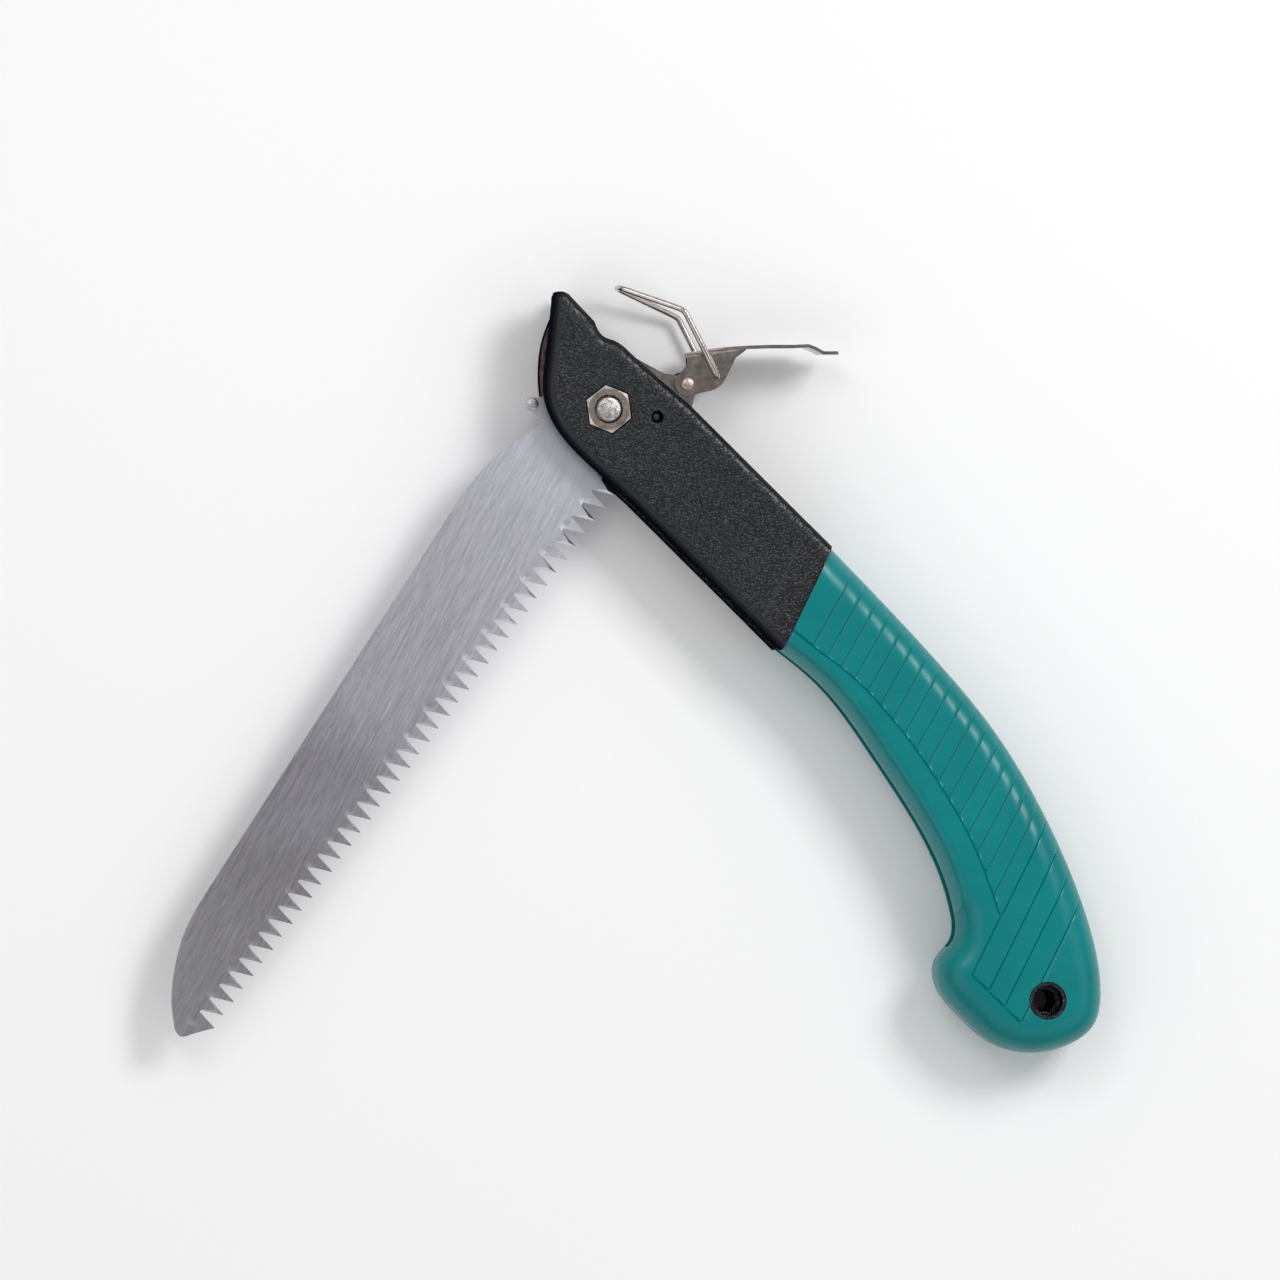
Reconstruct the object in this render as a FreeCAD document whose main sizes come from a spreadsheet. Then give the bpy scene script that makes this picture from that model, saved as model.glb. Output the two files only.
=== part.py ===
import FreeCAD, Part
import Sketcher
import os
from math import cos, hypot, radians, sin

# Folding pruning saw: straight blade folding into a curved two-shell handle, held open by a draw latch.
# It lies on its side: +Z is up, the handle's nut side faces up, and the blade's mid-plane is z = 0.
# Outlines are drawn about the blade's pivot; every sub-part is then placed so that the origin is
# the middle of the hanging hole.

doc = FreeCAD.newDocument("folding_pruning_saw")

# ---------------------------------------------------------------- driving dimensions

sheet = doc.addObject("Spreadsheet::Sheet", "Dimensions")
SIZES = {
    # handle
    "head_half": 9.5,            # half thickness of the black head
    "core_half": 8.0,            # half thickness of the black core under the grip
    "grip_half": 10.5,           # half thickness of the green grip
    "grip_skin": 2.2,            # wall of the grip around the core
    "slot_half": 2.5,            # half width of the blade slot
    "head_round": 2.0,           # edge rounding of the head
    "grip_round": 3.5,           # edge rounding of the grip
    # hanging hole
    "hang_x": 105.7,
    "hang_y": -140.9,
    "hang_radius": 2.65,
    "hang_mouth_radius": 4.4,
    "hang_mouth_depth": 4.6,
    "hang_boss_radius": 5.4,
    "hang_boss_sink": 0.2,       # how far the boss stands below the grip's face
    # pivot
    "bolt_radius": 2.95,
    "bolt_hole_radius": 3.05,
    "bush_radius": 4.5,
    "bush_gap": 0.05,
    "hex_across_corners": 11.5,
    "hex_recess_corners": 12.2,
    "hex_height": 5.0,
    "hex_sink": 0.15,            # how far the nut stands below the head's face
    "bolt_stand": 0.1,           # how far the bolt's end stands above the head's face
    "washer_radius": 9.0,
    "washer_thick": 1.8,
    # stop pin
    "stop_x": 11.7,
    "stop_y": -1.8,
    "stop_radius": 1.3,
    "stop_sink": 1.6,
    # blade
    "blade_thick": 1.25,
    "blade_angle": 232.7,        # direction of the tooth line from the pivot
    "tooth_pitch": 3.886,
    "tooth_depth": 5.0,
    "keeper_radius": 1.35,
    "keeper_length": 4.2,
    "keeper_ear_radius": 1.75,
    # latch
    "rivet_x": 19.5,
    "rivet_y": 6.0,
    "rivet_radius": 1.2,
    "rivet_head_radius": 1.6,
    "rivet_head_high": 0.6,
    "rivet_gap": 0.06,           # running clearance of the lever about the rivet
    "rivet_side_gap": 0.05,      # between each rivet head and the lever
    "press_gap": 0.02,           # about the pins in the bracket's holes
    "bracket_width": 10.2,
    "bracket_sheet": 0.8,
    "bracket_ear_radius": 2.9,
    "seat_side_gap": 0.3,        # beside the bracket in its seat
    "seat_floor_gap": 0.05,      # under the bracket's web
    "leg_slot_inside": 1.1,      # how far the slot for each leg reaches inside the bracket's face
    "leg_slot_width": 1.4,
    "lever_width": 12.2,
    "lever_sheet": 0.8,
    "tab_width": 11.0,
    "bail_x": 26.5,
    "bail_y": 7.7,
    "bail_hole_radius": 0.8,
    "wire_radius": 0.72,
    # screws that close the shells
    "screw_radius": 1.5,
    "screw_head_radius": 2.9,
    "screw_head_high": 1.8,
    "screw_mouth_radius": 3.1,
    "screw_seat": 5.0,           # from the mid-plane to the seat of the screw heads
    "screw_end": 5.5,            # from the mid-plane to the screws' ends
    "screw_gap": 0.05,
    "pilot_depth": 6.2,
}
for row, (alias, number) in enumerate(SIZES.items(), start=1):
    sheet.set(f"A{row}", alias)
    sheet.set(f"B{row}", str(number))
    sheet.setAlias(f"B{row}", alias)
doc.recompute()

TO_ORIGIN = FreeCAD.Vector(-SIZES["hang_x"], -SIZES["hang_y"], 0)
BLADE_TURN = FreeCAD.Rotation(FreeCAD.Vector(0, 0, 1), SIZES["blade_angle"])
SCREW_PLACES = [(45.5, -30.5), (80.0, -70.0), (90.0, -142.0)]

# ---------------------------------------------------------------- outlines about the pivot

# Upper edge of the head, from the tip of the hood, over the keeper notch, to the grip.
HOOD_EDGE = [(-9.3, 27.3), (-3.1, 20.8)]
NOTCH = [(-3.1, 20.8), (-2.3, 18.9), (-0.6, 17.1), (1.4, 16.4), (3.8, 15.0)]
SPINE = [(3.8, 15.0), (6.8, 12.2), (19.8, 1.05), (54.0, -32.6)]

# Green grip, clockwise from the end of the spine, round the butt and the hook, to the lower edge.
GRIP_EDGE = [
    (54.0, -32.6), (67.0, -45.9), (82.3, -62.3), (93.3, -75.6), (104.3, -93.1), (111.2, -107.3),
    (117.6, -125.0), (119.8, -138.2), (118.0, -147.0), (111.8, -151.6), (102.0, -153.4),
    (94.2, -151.3), (85.8, -144.4), (80.2, -136.4), (80.6, -130.8), (83.9, -126.6),
    (84.1, -119.2), (78.1, -103.2), (65.4, -83.1), (51.0, -64.7), (41.9, -57.3),
]

# Lower edge of the head, back to the front, and the front up to the hood.
LOWER_EDGE = [(41.9, -57.3), (6.8, -22.8)]
CHIN = [(6.8, -22.8), (-3.4, -13.6), (-11.6, -4.6), (-14.7, 3.0), (-14.4, 12.0), (-12.9, 25.4)]
HOOD_TIP = [(-12.9, 25.4), (-11.7, 27.9), (-9.3, 27.3)]

# Blade slot: the space that the blade sweeps between folded and open.
SLOT_HOOD = [(-16.0, 31.4), (-4.4, 19.6), (-1.8, 22.0), (5.0, 18.0), (4.2, 11.6)]
SLOT_RADIUS = 12.25
SLOT_BACK = [(13.0, 0.4), (20.85, -2.2), (115.0, -133.0)]
SLOT_END = [
    (115.0, -133.0), (115.2, -140.8), (112.5, -143.2), (104.5, -142.2), (96.2, -138.6), (88.0, -133.4),
    (76.0, -121.0),
]
SLOT_OUTSIDE = [(76.0, -121.0), (30.0, -80.0), (-40.0, -30.0), (-40.0, 31.4), (-16.0, 31.4)]


def vector(point, height=0.0):
    return FreeCAD.Vector(point[0], point[1], height)


def polyline(points):
    return [Part.LineSegment(vector(a), vector(b)) for a, b in zip(points, points[1:])]


def curve(points):
    line = Part.BSplineCurve()
    line.interpolate([vector(point) for point in points])
    return [line]


def arc(start, middle, end):
    return [Part.Arc(vector(start), vector(middle), vector(end))]


def polar(radius, angle):
    return (radius * cos(radians(angle)), radius * sin(radians(angle)))


def inset(points, distance):
    """Points moved to the right of their direction of travel by a distance."""
    moved = []
    for index, point in enumerate(points):
        before = points[max(index - 1, 0)]
        after = points[min(index + 1, len(points) - 1)]
        run = (after[0] - before[0], after[1] - before[1])
        length = hypot(*run)
        moved.append((point[0] + distance * run[1] / length, point[1] - distance * run[0] / length))
    return moved


# ---------------------------------------------------------------- helpers for bodies

def new_body(label):
    body = doc.addObject("PartDesign::Body", label)
    body.Label = label
    return body


def origin_plane(body, role):
    return next(feature for feature in body.Origin.OriginFeatures if feature.Role == role)


def new_sketch(body, name, geometry, height=None):
    """A sketch on the body's XY plane, raised to a height that may be an expression."""
    sketch = body.newObject("Sketcher::SketchObject", f"{body.Name}_{name}")
    sketch.AttachmentSupport = [(origin_plane(body, "XY_Plane"), "")]
    sketch.MapMode = "FlatFace"
    if height is not None:
        sketch.setExpression("AttachmentOffset.Base.z", height)
    for piece in geometry:
        sketch.addGeometry(piece, False)
    return sketch


def circle_sketch(body, name, circles, height=None):
    """Circles given as (x, y, radius), each a number or the name of a dimension."""
    sketch = new_sketch(body, name, [], height)
    for x, y, radius in circles:
        values = [SIZES[value] if isinstance(value, str) else value for value in (x, y, radius)]
        centre = FreeCAD.Vector(values[0], values[1], 0)
        index = sketch.addGeometry(Part.Circle(centre, FreeCAD.Vector(0, 0, 1), values[2]), False)
        for kind, value, given in (("DistanceX", values[0], x), ("DistanceY", values[1], y)):
            place = sketch.addConstraint(Sketcher.Constraint(kind, -1, 1, index, 3, value))
            if isinstance(given, str):
                sketch.setExpression(f"Constraints[{place}]", f"Dimensions.{given}")
        place = sketch.addConstraint(Sketcher.Constraint("Radius", index, values[2]))
        if isinstance(radius, str):
            sketch.setExpression(f"Constraints[{place}]", f"Dimensions.{radius}")
    return sketch


def pad(body, sketch, length, reverse=False, middle=False):
    feature = body.newObject("PartDesign::Pad", f"{sketch.Name}_pad")
    feature.Profile = sketch
    feature.setExpression("Length", length)
    feature.Reversed = reverse
    feature.Midplane = middle
    return feature


def pocket(body, sketch, length, upward=True, middle=False):
    """A pocket that cuts towards +Z, or towards -Z; its volume is compared to be sure it cuts."""
    doc.recompute()
    before = body.Shape.Volume
    feature = body.newObject("PartDesign::Pocket", f"{sketch.Name}_pocket")
    feature.Profile = sketch
    feature.setExpression("Length", length)
    feature.Reversed = upward
    feature.Midplane = middle
    doc.recompute()
    if body.Shape.Volume > before - 1e-6:
        raise RuntimeError(f"{feature.Name} cuts nothing")
    return feature


def round_top(body, radius, height, marks):
    """Rounds those outer edges of the flat face at a height that pass through the marked points."""
    doc.recompute()
    base = body.Tip
    names = []
    for index, edge in enumerate(body.Shape.Edges, start=1):
        if any(edge.distToShape(Part.Vertex(vector(mark, height)))[0] < 0.01 for mark in marks):
            names.append(f"Edge{index}")
    feature = body.newObject("PartDesign::Fillet", f"{body.Name}_round")
    feature.Base = (base, names)
    feature.setExpression("Radius", radius)
    doc.recompute()
    return feature


def finish(item, turn=None):
    item.Placement = FreeCAD.Placement(TO_ORIGIN, turn or FreeCAD.Rotation())
    SUB_PARTS.append(item)


SUB_PARTS = []

# ---------------------------------------------------------------- handle shells and grips

HEAD_OUTLINE = (
    polyline(HOOD_EDGE) + curve(NOTCH) + polyline(SPINE)
    + polyline([SPINE[-1], LOWER_EDGE[0]]) + polyline(LOWER_EDGE) + curve(CHIN) + arc(*HOOD_TIP)
)
HEAD_MARKS = [(24.35, -40.05), CHIN[3]]
GRIP_MARKS = [GRIP_EDGE[3]]
GRIP_OUTLINE = curve(GRIP_EDGE) + polyline([GRIP_EDGE[-1], GRIP_EDGE[0]])
CORE_EDGE = inset(GRIP_EDGE, SIZES["grip_skin"])
CORE_START = (46.0, -30.0)
CORE_FINISH = (36.0, -48.0)
CORE_OUTLINE = curve(CORE_EDGE) + polyline([CORE_EDGE[-1], CORE_FINISH, CORE_START, CORE_EDGE[0]])
SLOT_OUTLINE = (
    polyline(SLOT_HOOD)
    + arc(SLOT_HOOD[-1], polar(SLOT_RADIUS, 40), SLOT_BACK[0])
    + polyline(SLOT_BACK) + polyline(SLOT_END) + polyline(SLOT_OUTSIDE)
)


NUT_TURN = 98.0


def hexagon(across_corners):
    """A hexagon about the pivot, turned as the nut sits."""
    corners = [polar(across_corners / 2, NUT_TURN + 60 * step) for step in range(6)]
    return polyline(corners + corners[:1])


def build_shell(label, side):
    """Black half of the handle; side is +1 for the nut side and -1 for the bolt-head side."""
    down = side < 0
    sign = "" if side > 0 else "-"
    body = new_body(label)
    pad(body, new_sketch(body, "head", HEAD_OUTLINE), "Dimensions.head_half", reverse=down)
    seat = new_sketch(body, "seat", BRACKET_SEAT)
    pocket(body, seat, "Dimensions.bracket_width / 2 + Dimensions.seat_side_gap", upward=not down)
    round_top(body, "Dimensions.head_round", side * SIZES["head_half"], HEAD_MARKS)
    pad(body, new_sketch(body, "core", CORE_OUTLINE), "Dimensions.core_half", reverse=down)
    boss = circle_sketch(body, "boss", [("hang_x", "hang_y", "hang_boss_radius")])
    pad(body, boss, "Dimensions.grip_half - Dimensions.hang_boss_sink", reverse=down)

    pocket(body, new_sketch(body, "slot", SLOT_OUTLINE), "Dimensions.slot_half", upward=not down)
    through = circle_sketch(body, "through", [
        (0, 0, "bolt_hole_radius"), ("hang_x", "hang_y", "hang_radius"), ("stop_x", "stop_y", "stop_radius"),
    ])
    pocket(body, through, "2 * Dimensions.grip_half", upward=not down)
    mouth = circle_sketch(
        body, "mouth", [("hang_x", "hang_y", "hang_mouth_radius")],
        f"{sign}(Dimensions.grip_half - Dimensions.hang_mouth_depth)")
    pocket(body, mouth, "Dimensions.hang_mouth_depth", upward=not down)
    recess = new_sketch(
        body, "recess", hexagon(SIZES["hex_recess_corners"]),
        f"{sign}(Dimensions.head_half - Dimensions.hex_height - Dimensions.hex_sink)")
    pocket(body, recess, "2 * Dimensions.hex_height", upward=not down)
    leg = new_sketch(body, "leg", BRACKET_RECESS,
                     f"{sign}(Dimensions.bracket_width / 2 - Dimensions.leg_slot_inside)")
    pocket(body, leg, "Dimensions.leg_slot_width", upward=not down)
    if down:
        shanks = circle_sketch(body, "shanks", [(x, y, "screw_radius") for x, y in SCREW_PLACES])
        pocket(body, shanks, "2 * Dimensions.grip_half", upward=False)
        for index, (x, y) in enumerate(SCREW_PLACES):
            heads = circle_sketch(body, f"head{index}", [(x, y, "screw_mouth_radius")],
                                  "-Dimensions.screw_seat")
            pocket(body, heads, "2 * Dimensions.grip_half", upward=False)
    else:
        pilots = circle_sketch(body, "pilots", [(x, y, "screw_radius") for x, y in SCREW_PLACES])
        pocket(body, pilots, "Dimensions.pilot_depth", upward=True)
    finish(body)


def build_grip(label, side):
    """Green soft half, moulded over its shell."""
    down = side < 0
    body = new_body(label)
    pad(body, new_sketch(body, "outside", GRIP_OUTLINE), "Dimensions.grip_half", reverse=down)
    circles = [("hang_x", "hang_y", "hang_boss_radius")]
    if down:
        circles += [(x, y, "screw_mouth_radius") for x, y in SCREW_PLACES[1:]]
    pocket(body, circle_sketch(body, "holes", circles), "2 * Dimensions.grip_half", upward=not down)
    pocket(body, new_sketch(body, "slot", SLOT_OUTLINE), "Dimensions.slot_half", upward=not down)
    pocket(body, new_sketch(body, "core", CORE_OUTLINE), "Dimensions.core_half", upward=not down)
    round_top(body, "Dimensions.grip_round", side * SIZES["grip_half"], GRIP_MARKS)
    finish(body)


# ---------------------------------------------------------------- latch bracket

RIVET = (SIZES["rivet_x"], SIZES["rivet_y"])
BRACKET_TOP = [(5.6, 13.1), (10.2, 10.5), (14.0, 8.6), (16.6, 8.1)]
BRACKET_TAIL = [(20.6, 0.6), (19.4, -0.3)]
BRACKET_LEG = [(19.4, -0.3), (14.6, -4.0), (11.2, -4.9), (8.8, -3.0), (6.6, 3.5), (5.6, 13.1)]


def around(centre, radius, start, end):
    """An arc about a centre between two angles."""
    middle = (start + end) / 2
    ends = [(centre[0] + polar(radius, a)[0], centre[1] + polar(radius, a)[1]) for a in (start, middle, end)]
    return ends


EAR = around(RIVET, SIZES["bracket_ear_radius"], 136, -43)
BRACKET_OUTLINE = (
    polyline(BRACKET_TOP + [EAR[0]]) + arc(*EAR) + polyline([EAR[2]] + BRACKET_TAIL)
    + polyline(BRACKET_LEG)
)
BRACKET_RECESS = polyline([
    (4.9, 16.0), (5.9, 3.4), (8.2, -3.6), (11.2, -5.6), (15.2, -4.5), (20.3, -0.6), (24.0, 3.0), (4.9, 16.0),
])
# The web between the two ears lies in a shallow seat along the spine.
WEB_TOP = [(5.6, 13.1), (17.6, 2.9)]
WEB_BOTTOM = inset(WEB_TOP, SIZES["bracket_sheet"])
SEAT_FLOOR = inset(WEB_TOP, SIZES["bracket_sheet"] + SIZES["seat_floor_gap"])
BRACKET_SEAT = polyline([
    (5.2, 13.4), *SEAT_FLOOR, (18.2, 2.4), (21.0, 6.0), (9.0, 17.0), (5.2, 13.4),
])


def build_bracket():
    body = new_body("latch_bracket")
    pad(body, new_sketch(body, "plates", BRACKET_OUTLINE), "Dimensions.bracket_width", middle=True)
    above = [(3.0, 18.0), (5.2, 13.45), WEB_TOP[1], WEB_BOTTOM[1], (22.0, -8.0), (30.0, -8.0), (30.0, 14.0)]
    inner = "Dimensions.bracket_width - 2 * Dimensions.bracket_sheet"
    pocket(body, new_sketch(body, "above", polyline(above + above[:1])), inner, middle=True)
    below = [WEB_BOTTOM[0], WEB_BOTTOM[1], (22.0, -8.0), (4.0, -8.0), (3.0, 8.0), WEB_BOTTOM[0]]
    pocket(body, new_sketch(body, "below", polyline(below)), inner, middle=True)
    holes = circle_sketch(body, "holes", [
        ("rivet_x", "rivet_y", SIZES["rivet_radius"] + SIZES["press_gap"]),
        ("stop_x", "stop_y", SIZES["stop_radius"] + SIZES["press_gap"]),
    ])
    pocket(body, holes, "2 * Dimensions.bracket_width", middle=True)
    finish(body)


# ---------------------------------------------------------------- latch lever

LEVER_CHEEK = [
    (18.7, 13.4), (19.3, 12.0), (18.7, 9.9), (16.7, 7.6), (16.3, 5.7), (17.4, 4.0), (19.7, 3.2), (21.4, 3.6),
    (27.4, 5.7), (28.5, 7.2), (30.0, 10.2), (31.2, 12.6), (33.6, 14.2),
]
LEVER_TOP = [(33.6, 15.2), (28.4, 14.8), (22.9, 14.0), (18.7, 13.4)]
TAB_TOP = [
    (28.4, 14.8), (34.0, 15.2), (39.8, 15.4), (45.3, 15.4), (48.7, 15.6), (50.6, 14.9), (52.4, 13.9),
    (55.9, 13.9),
]


def build_lever():
    body = new_body("latch_lever")
    cheeks = curve(LEVER_CHEEK[:-1]) + polyline(LEVER_CHEEK[-2:] + LEVER_TOP)
    pad(body, new_sketch(body, "cheeks", cheeks), "Dimensions.lever_width", middle=True)
    ceiling = inset(list(reversed(LEVER_TOP)), SIZES["lever_sheet"])
    channel = [(12.0, ceiling[0][1] - 0.9), *ceiling, (36.0, 14.0), (36.0, -2.0), (12.0, -2.0)]
    inner = "Dimensions.lever_width - 2 * Dimensions.lever_sheet"
    pocket(body, new_sketch(body, "channel", polyline(channel + channel[:1])), inner, middle=True)
    strip = TAB_TOP + list(reversed(inset(TAB_TOP, SIZES["lever_sheet"])))
    pad(body, new_sketch(body, "tab", polyline(strip + strip[:1])), "Dimensions.tab_width", middle=True)
    holes = circle_sketch(body, "holes", [
        ("rivet_x", "rivet_y", SIZES["rivet_radius"] + SIZES["rivet_gap"]),
        ("bail_x", "bail_y", "bail_hole_radius"),
    ])
    pocket(body, holes, "2 * Dimensions.lever_width", middle=True)
    finish(body)


# ---------------------------------------------------------------- latch bail: one bent wire

BAIL_HALF = 7.6
BAIL_HOOK_HALF = 3.1
BAIL_INNER_END = 5.5
BAIL_BEND_NEAR = (18.4, 23.6)
BAIL_BEND_FAR = (19.3, 21.9)
BAIL_HOOK = (3.75, 28.9)
BAIL_BENDS = [1.2, 3.0, 1.6, 1.6, 3.0, 1.2]


def rounded_path(points, radii):
    """A wire of straight runs joined by tangent arcs, one radius for each inner point."""
    edges = []
    start = points[0]
    for before, corner, after, radius in zip(points, points[1:], points[2:], radii):
        back = (before - corner).normalize()
        ahead = (after - corner).normalize()
        turn = back.getAngle(ahead)
        reach = radius / abs(sin(turn / 2)) * abs(cos(turn / 2))
        first = corner + back * reach
        last = corner + ahead * reach
        inward = (back + ahead).normalize()
        middle = corner + inward * (radius / abs(sin(turn / 2)) - radius)
        edges.append(Part.LineSegment(start, first).toShape())
        edges.append(Part.Arc(first, middle, last).toShape())
        start = last
    edges.append(Part.LineSegment(start, points[-1]).toShape())
    return Part.Wire(edges)


def build_bail():
    pivot = (SIZES["bail_x"], SIZES["bail_y"])
    radius = float(sheet.get("wire_radius"))
    points = [
        vector(pivot, BAIL_INNER_END), vector(pivot, BAIL_HALF), vector(BAIL_BEND_NEAR, BAIL_HALF),
        vector(BAIL_HOOK, BAIL_HOOK_HALF), vector(BAIL_HOOK, -BAIL_HOOK_HALF),
        vector(BAIL_BEND_FAR, -BAIL_HALF), vector(pivot, -BAIL_HALF), vector(pivot, -BAIL_INNER_END),
    ]
    path = rounded_path(points, BAIL_BENDS)
    profile = Part.Wire([Part.Circle(points[0], FreeCAD.Vector(0, 0, 1), radius).toShape()])
    bail = doc.addObject("Part::Feature", "latch_bail")
    bail.Label = "latch_bail"
    bail.Shape = path.makePipeShell([profile], True, True)
    finish(bail)


# ---------------------------------------------------------------- blade

# The blade is drawn along its own x axis, with the teeth towards +y, and then turned.
TOOTH_LINE = 14.6
FIRST_TIP = 14.3
TEETH = 42
TIP_LEAN = 0.86
TIP_FLAT = 0.3
GULLET_RADIUS = 0.4
GULLET_SLOPE_END = 0.35
GULLET_SINK = 0.1
GULLET_STEEP_END = 0.2
TANG_RADIUS = 10.0
SHOULDER_RADIUS = 11.7
FOLD_SHOULDER = 37.8
OPEN_SHOULDER = 217.4
EAR_SHOULDER = 292.0
KEEPER = (9.4, -14.4)
BACK_CURVE = [(10.9, -9.6), (16.5, -11.5), (22.6, -13.3), (28.8, -14.4), (36.0, -14.8)]
NOSE = [(150.0, -6.2), (159.0, -4.9), (168.0, -1.4), (175.2, 3.1), (179.6, 7.4)]
NOSE_CORNER = [(179.6, 7.4), (180.2, 9.4), (178.4, 11.1)]


def tooth_row():
    """Lines and gullet arcs from the first gullet to the last tooth's tip."""
    pitch = SIZES["tooth_pitch"]
    floor = TOOTH_LINE - SIZES["tooth_depth"]
    pieces = []
    start = (FIRST_TIP - TIP_LEAN, floor)
    for tooth in range(TEETH):
        tip = FIRST_TIP + tooth * pitch
        pieces += polyline([start, (tip, TOOTH_LINE), (tip + TIP_FLAT, TOOTH_LINE)])
        if tooth == TEETH - 1:
            break
        gullet = tip + pitch - TIP_LEAN
        slope_end = (gullet - 2 * GULLET_RADIUS, floor + GULLET_SLOPE_END)
        pieces += polyline([(tip + TIP_FLAT, TOOTH_LINE), slope_end])
        start = (gullet, floor + GULLET_STEEP_END)
        pieces += arc(slope_end, (gullet - GULLET_RADIUS, floor - GULLET_SINK), start)
    return pieces


def build_blade():
    body = new_body("saw_blade")
    last_tip = FIRST_TIP + (TEETH - 1) * SIZES["tooth_pitch"] + TIP_FLAT
    fold_low = polar(TANG_RADIUS, FOLD_SHOULDER)
    open_low = polar(TANG_RADIUS, OPEN_SHOULDER)
    open_high = polar(SHOULDER_RADIUS, OPEN_SHOULDER)
    ear_start = polar(SHOULDER_RADIUS, EAR_SHOULDER)
    ear = around(KEEPER, SIZES["keeper_ear_radius"], 205, 385)
    outline = tooth_row()
    outline += polyline([(last_tip, TOOTH_LINE), NOSE_CORNER[2]])
    outline += arc(*reversed(NOSE_CORNER)) + curve(list(reversed(NOSE)))
    outline += polyline([NOSE[0], BACK_CURVE[-1]]) + curve(list(reversed(BACK_CURVE)))
    outline += polyline([BACK_CURVE[0], ear[2]]) + arc(*reversed(ear)) + polyline([ear[0], ear_start])
    outline += arc(ear_start, polar(SHOULDER_RADIUS, 255), open_high)
    outline += polyline([open_high, open_low])
    outline += arc(open_low, polar(TANG_RADIUS, 128), fold_low)
    outline += polyline([fold_low, (12.4, 9.6), (FIRST_TIP - TIP_LEAN, TOOTH_LINE - SIZES["tooth_depth"])])
    pad(body, new_sketch(body, "outline", outline), "Dimensions.blade_thick", middle=True)
    holes = circle_sketch(body, "holes", [
        (0, 0, SIZES["bush_radius"] + SIZES["bush_gap"]), (KEEPER[0], KEEPER[1], "keeper_radius")])
    pocket(body, holes, "4 * Dimensions.blade_thick", middle=True)
    finish(body, BLADE_TURN)


# ---------------------------------------------------------------- turned parts and fasteners

def build_round(label, circles, length, height=None, turn=None):
    """A pin, washer or sleeve: circles padded towards +Z from a height."""
    body = new_body(label)
    pad(body, circle_sketch(body, "section", circles, height), length)
    finish(body, turn)
    return body


def build_nut():
    body = new_body("pivot_nut")
    low = "Dimensions.head_half - Dimensions.hex_height - Dimensions.hex_sink"
    pad(body, new_sketch(body, "hexagon", hexagon(SIZES["hex_across_corners"]), low), "Dimensions.hex_height")
    pocket(body, circle_sketch(body, "bore", [(0, 0, "bolt_hole_radius")], low), "Dimensions.hex_height")
    finish(body)


def build_bolt():
    body = new_body("pivot_bolt")
    low = "-(Dimensions.head_half - Dimensions.hex_sink)"
    pad(body, new_sketch(body, "head", hexagon(SIZES["hex_across_corners"]), low), "Dimensions.hex_height")
    shank = circle_sketch(body, "shank", [(0, 0, "bolt_radius")], low)
    pad(body, shank, "2 * Dimensions.head_half - Dimensions.hex_sink + Dimensions.bolt_stand")
    finish(body)


def build_rivet():
    body = new_body("lever_rivet")
    high = "Dimensions.lever_width / 2 + Dimensions.rivet_side_gap"
    low = f"-({high})"
    head = [("rivet_x", "rivet_y", "rivet_head_radius")]
    pad(body, circle_sketch(body, "shank", [("rivet_x", "rivet_y", "rivet_radius")], low),
        f"2 * ({high})")
    pad(body, circle_sketch(body, "far_head", head, low), "Dimensions.rivet_head_high", reverse=True)
    pad(body, circle_sketch(body, "near_head", head, high), "Dimensions.rivet_head_high")
    finish(body)


def build_screws():
    """Three equal screws as one group of separate solids."""
    head_low = -(SIZES["screw_seat"] + SIZES["screw_head_high"])
    shank_radius = SIZES["screw_radius"] - SIZES["screw_gap"]
    shank_length = SIZES["screw_end"] - head_low
    screws = []
    for place in SCREW_PLACES:
        foot = vector(place, head_low)
        head = Part.makeCylinder(SIZES["screw_head_radius"], SIZES["screw_head_high"], foot)
        shank = Part.makeCylinder(shank_radius, shank_length, foot)
        screws.append(head.fuse(shank).removeSplitter())
    group = doc.addObject("Part::Feature", "shell_screws")
    group.Label = "shell_screws"
    group.Shape = Part.makeCompound(screws)
    finish(group)


build_shell("shell_near", 1)
build_shell("shell_far", -1)
build_grip("grip_near", 1)
build_grip("grip_far", -1)
build_bracket()
build_lever()
build_bail()
build_blade()
build_nut()
build_bolt()
build_rivet()
build_screws()
build_round("pivot_bush", [(0, 0, "bush_radius"), (0, 0, "bolt_hole_radius")],
            "2 * Dimensions.slot_half", "-Dimensions.slot_half")
WASHER = [(0, 0, "washer_radius"), (0, 0, SIZES["bush_radius"] + SIZES["bush_gap"])]
build_round("spacer_washer_near", WASHER, "Dimensions.washer_thick",
            "Dimensions.slot_half - Dimensions.washer_thick")
build_round("spacer_washer_far", WASHER, "Dimensions.washer_thick", "-Dimensions.slot_half")
build_round("stop_pin", [("stop_x", "stop_y", "stop_radius")],
            "2 * (Dimensions.head_half - Dimensions.stop_sink)",
            "-(Dimensions.head_half - Dimensions.stop_sink)")
build_round("keeper_pin", [(KEEPER[0], KEEPER[1], "keeper_radius")], "Dimensions.keeper_length",
            "-Dimensions.keeper_length / 2", BLADE_TURN)

# ---------------------------------------------------------------- check and export

doc.recompute()
for item in doc.Objects:
    if "Invalid" in item.State or "Error" in item.State:
        raise RuntimeError(f"{item.Name} failed: {item.State}")
for part in SUB_PARTS:
    if part.Shape.isNull() or not part.Shape.isValid():
        raise RuntimeError(f"{part.Label} has no valid shape")

os.makedirs("parts", exist_ok=True)
for part in SUB_PARTS:
    part.Shape.exportStep(f"parts/{part.Label}.step")
    print(part.Label, len(part.Shape.Solids), round(part.Shape.Volume, 1))
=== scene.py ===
from math import cos, pi, radians, sin, tan

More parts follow.
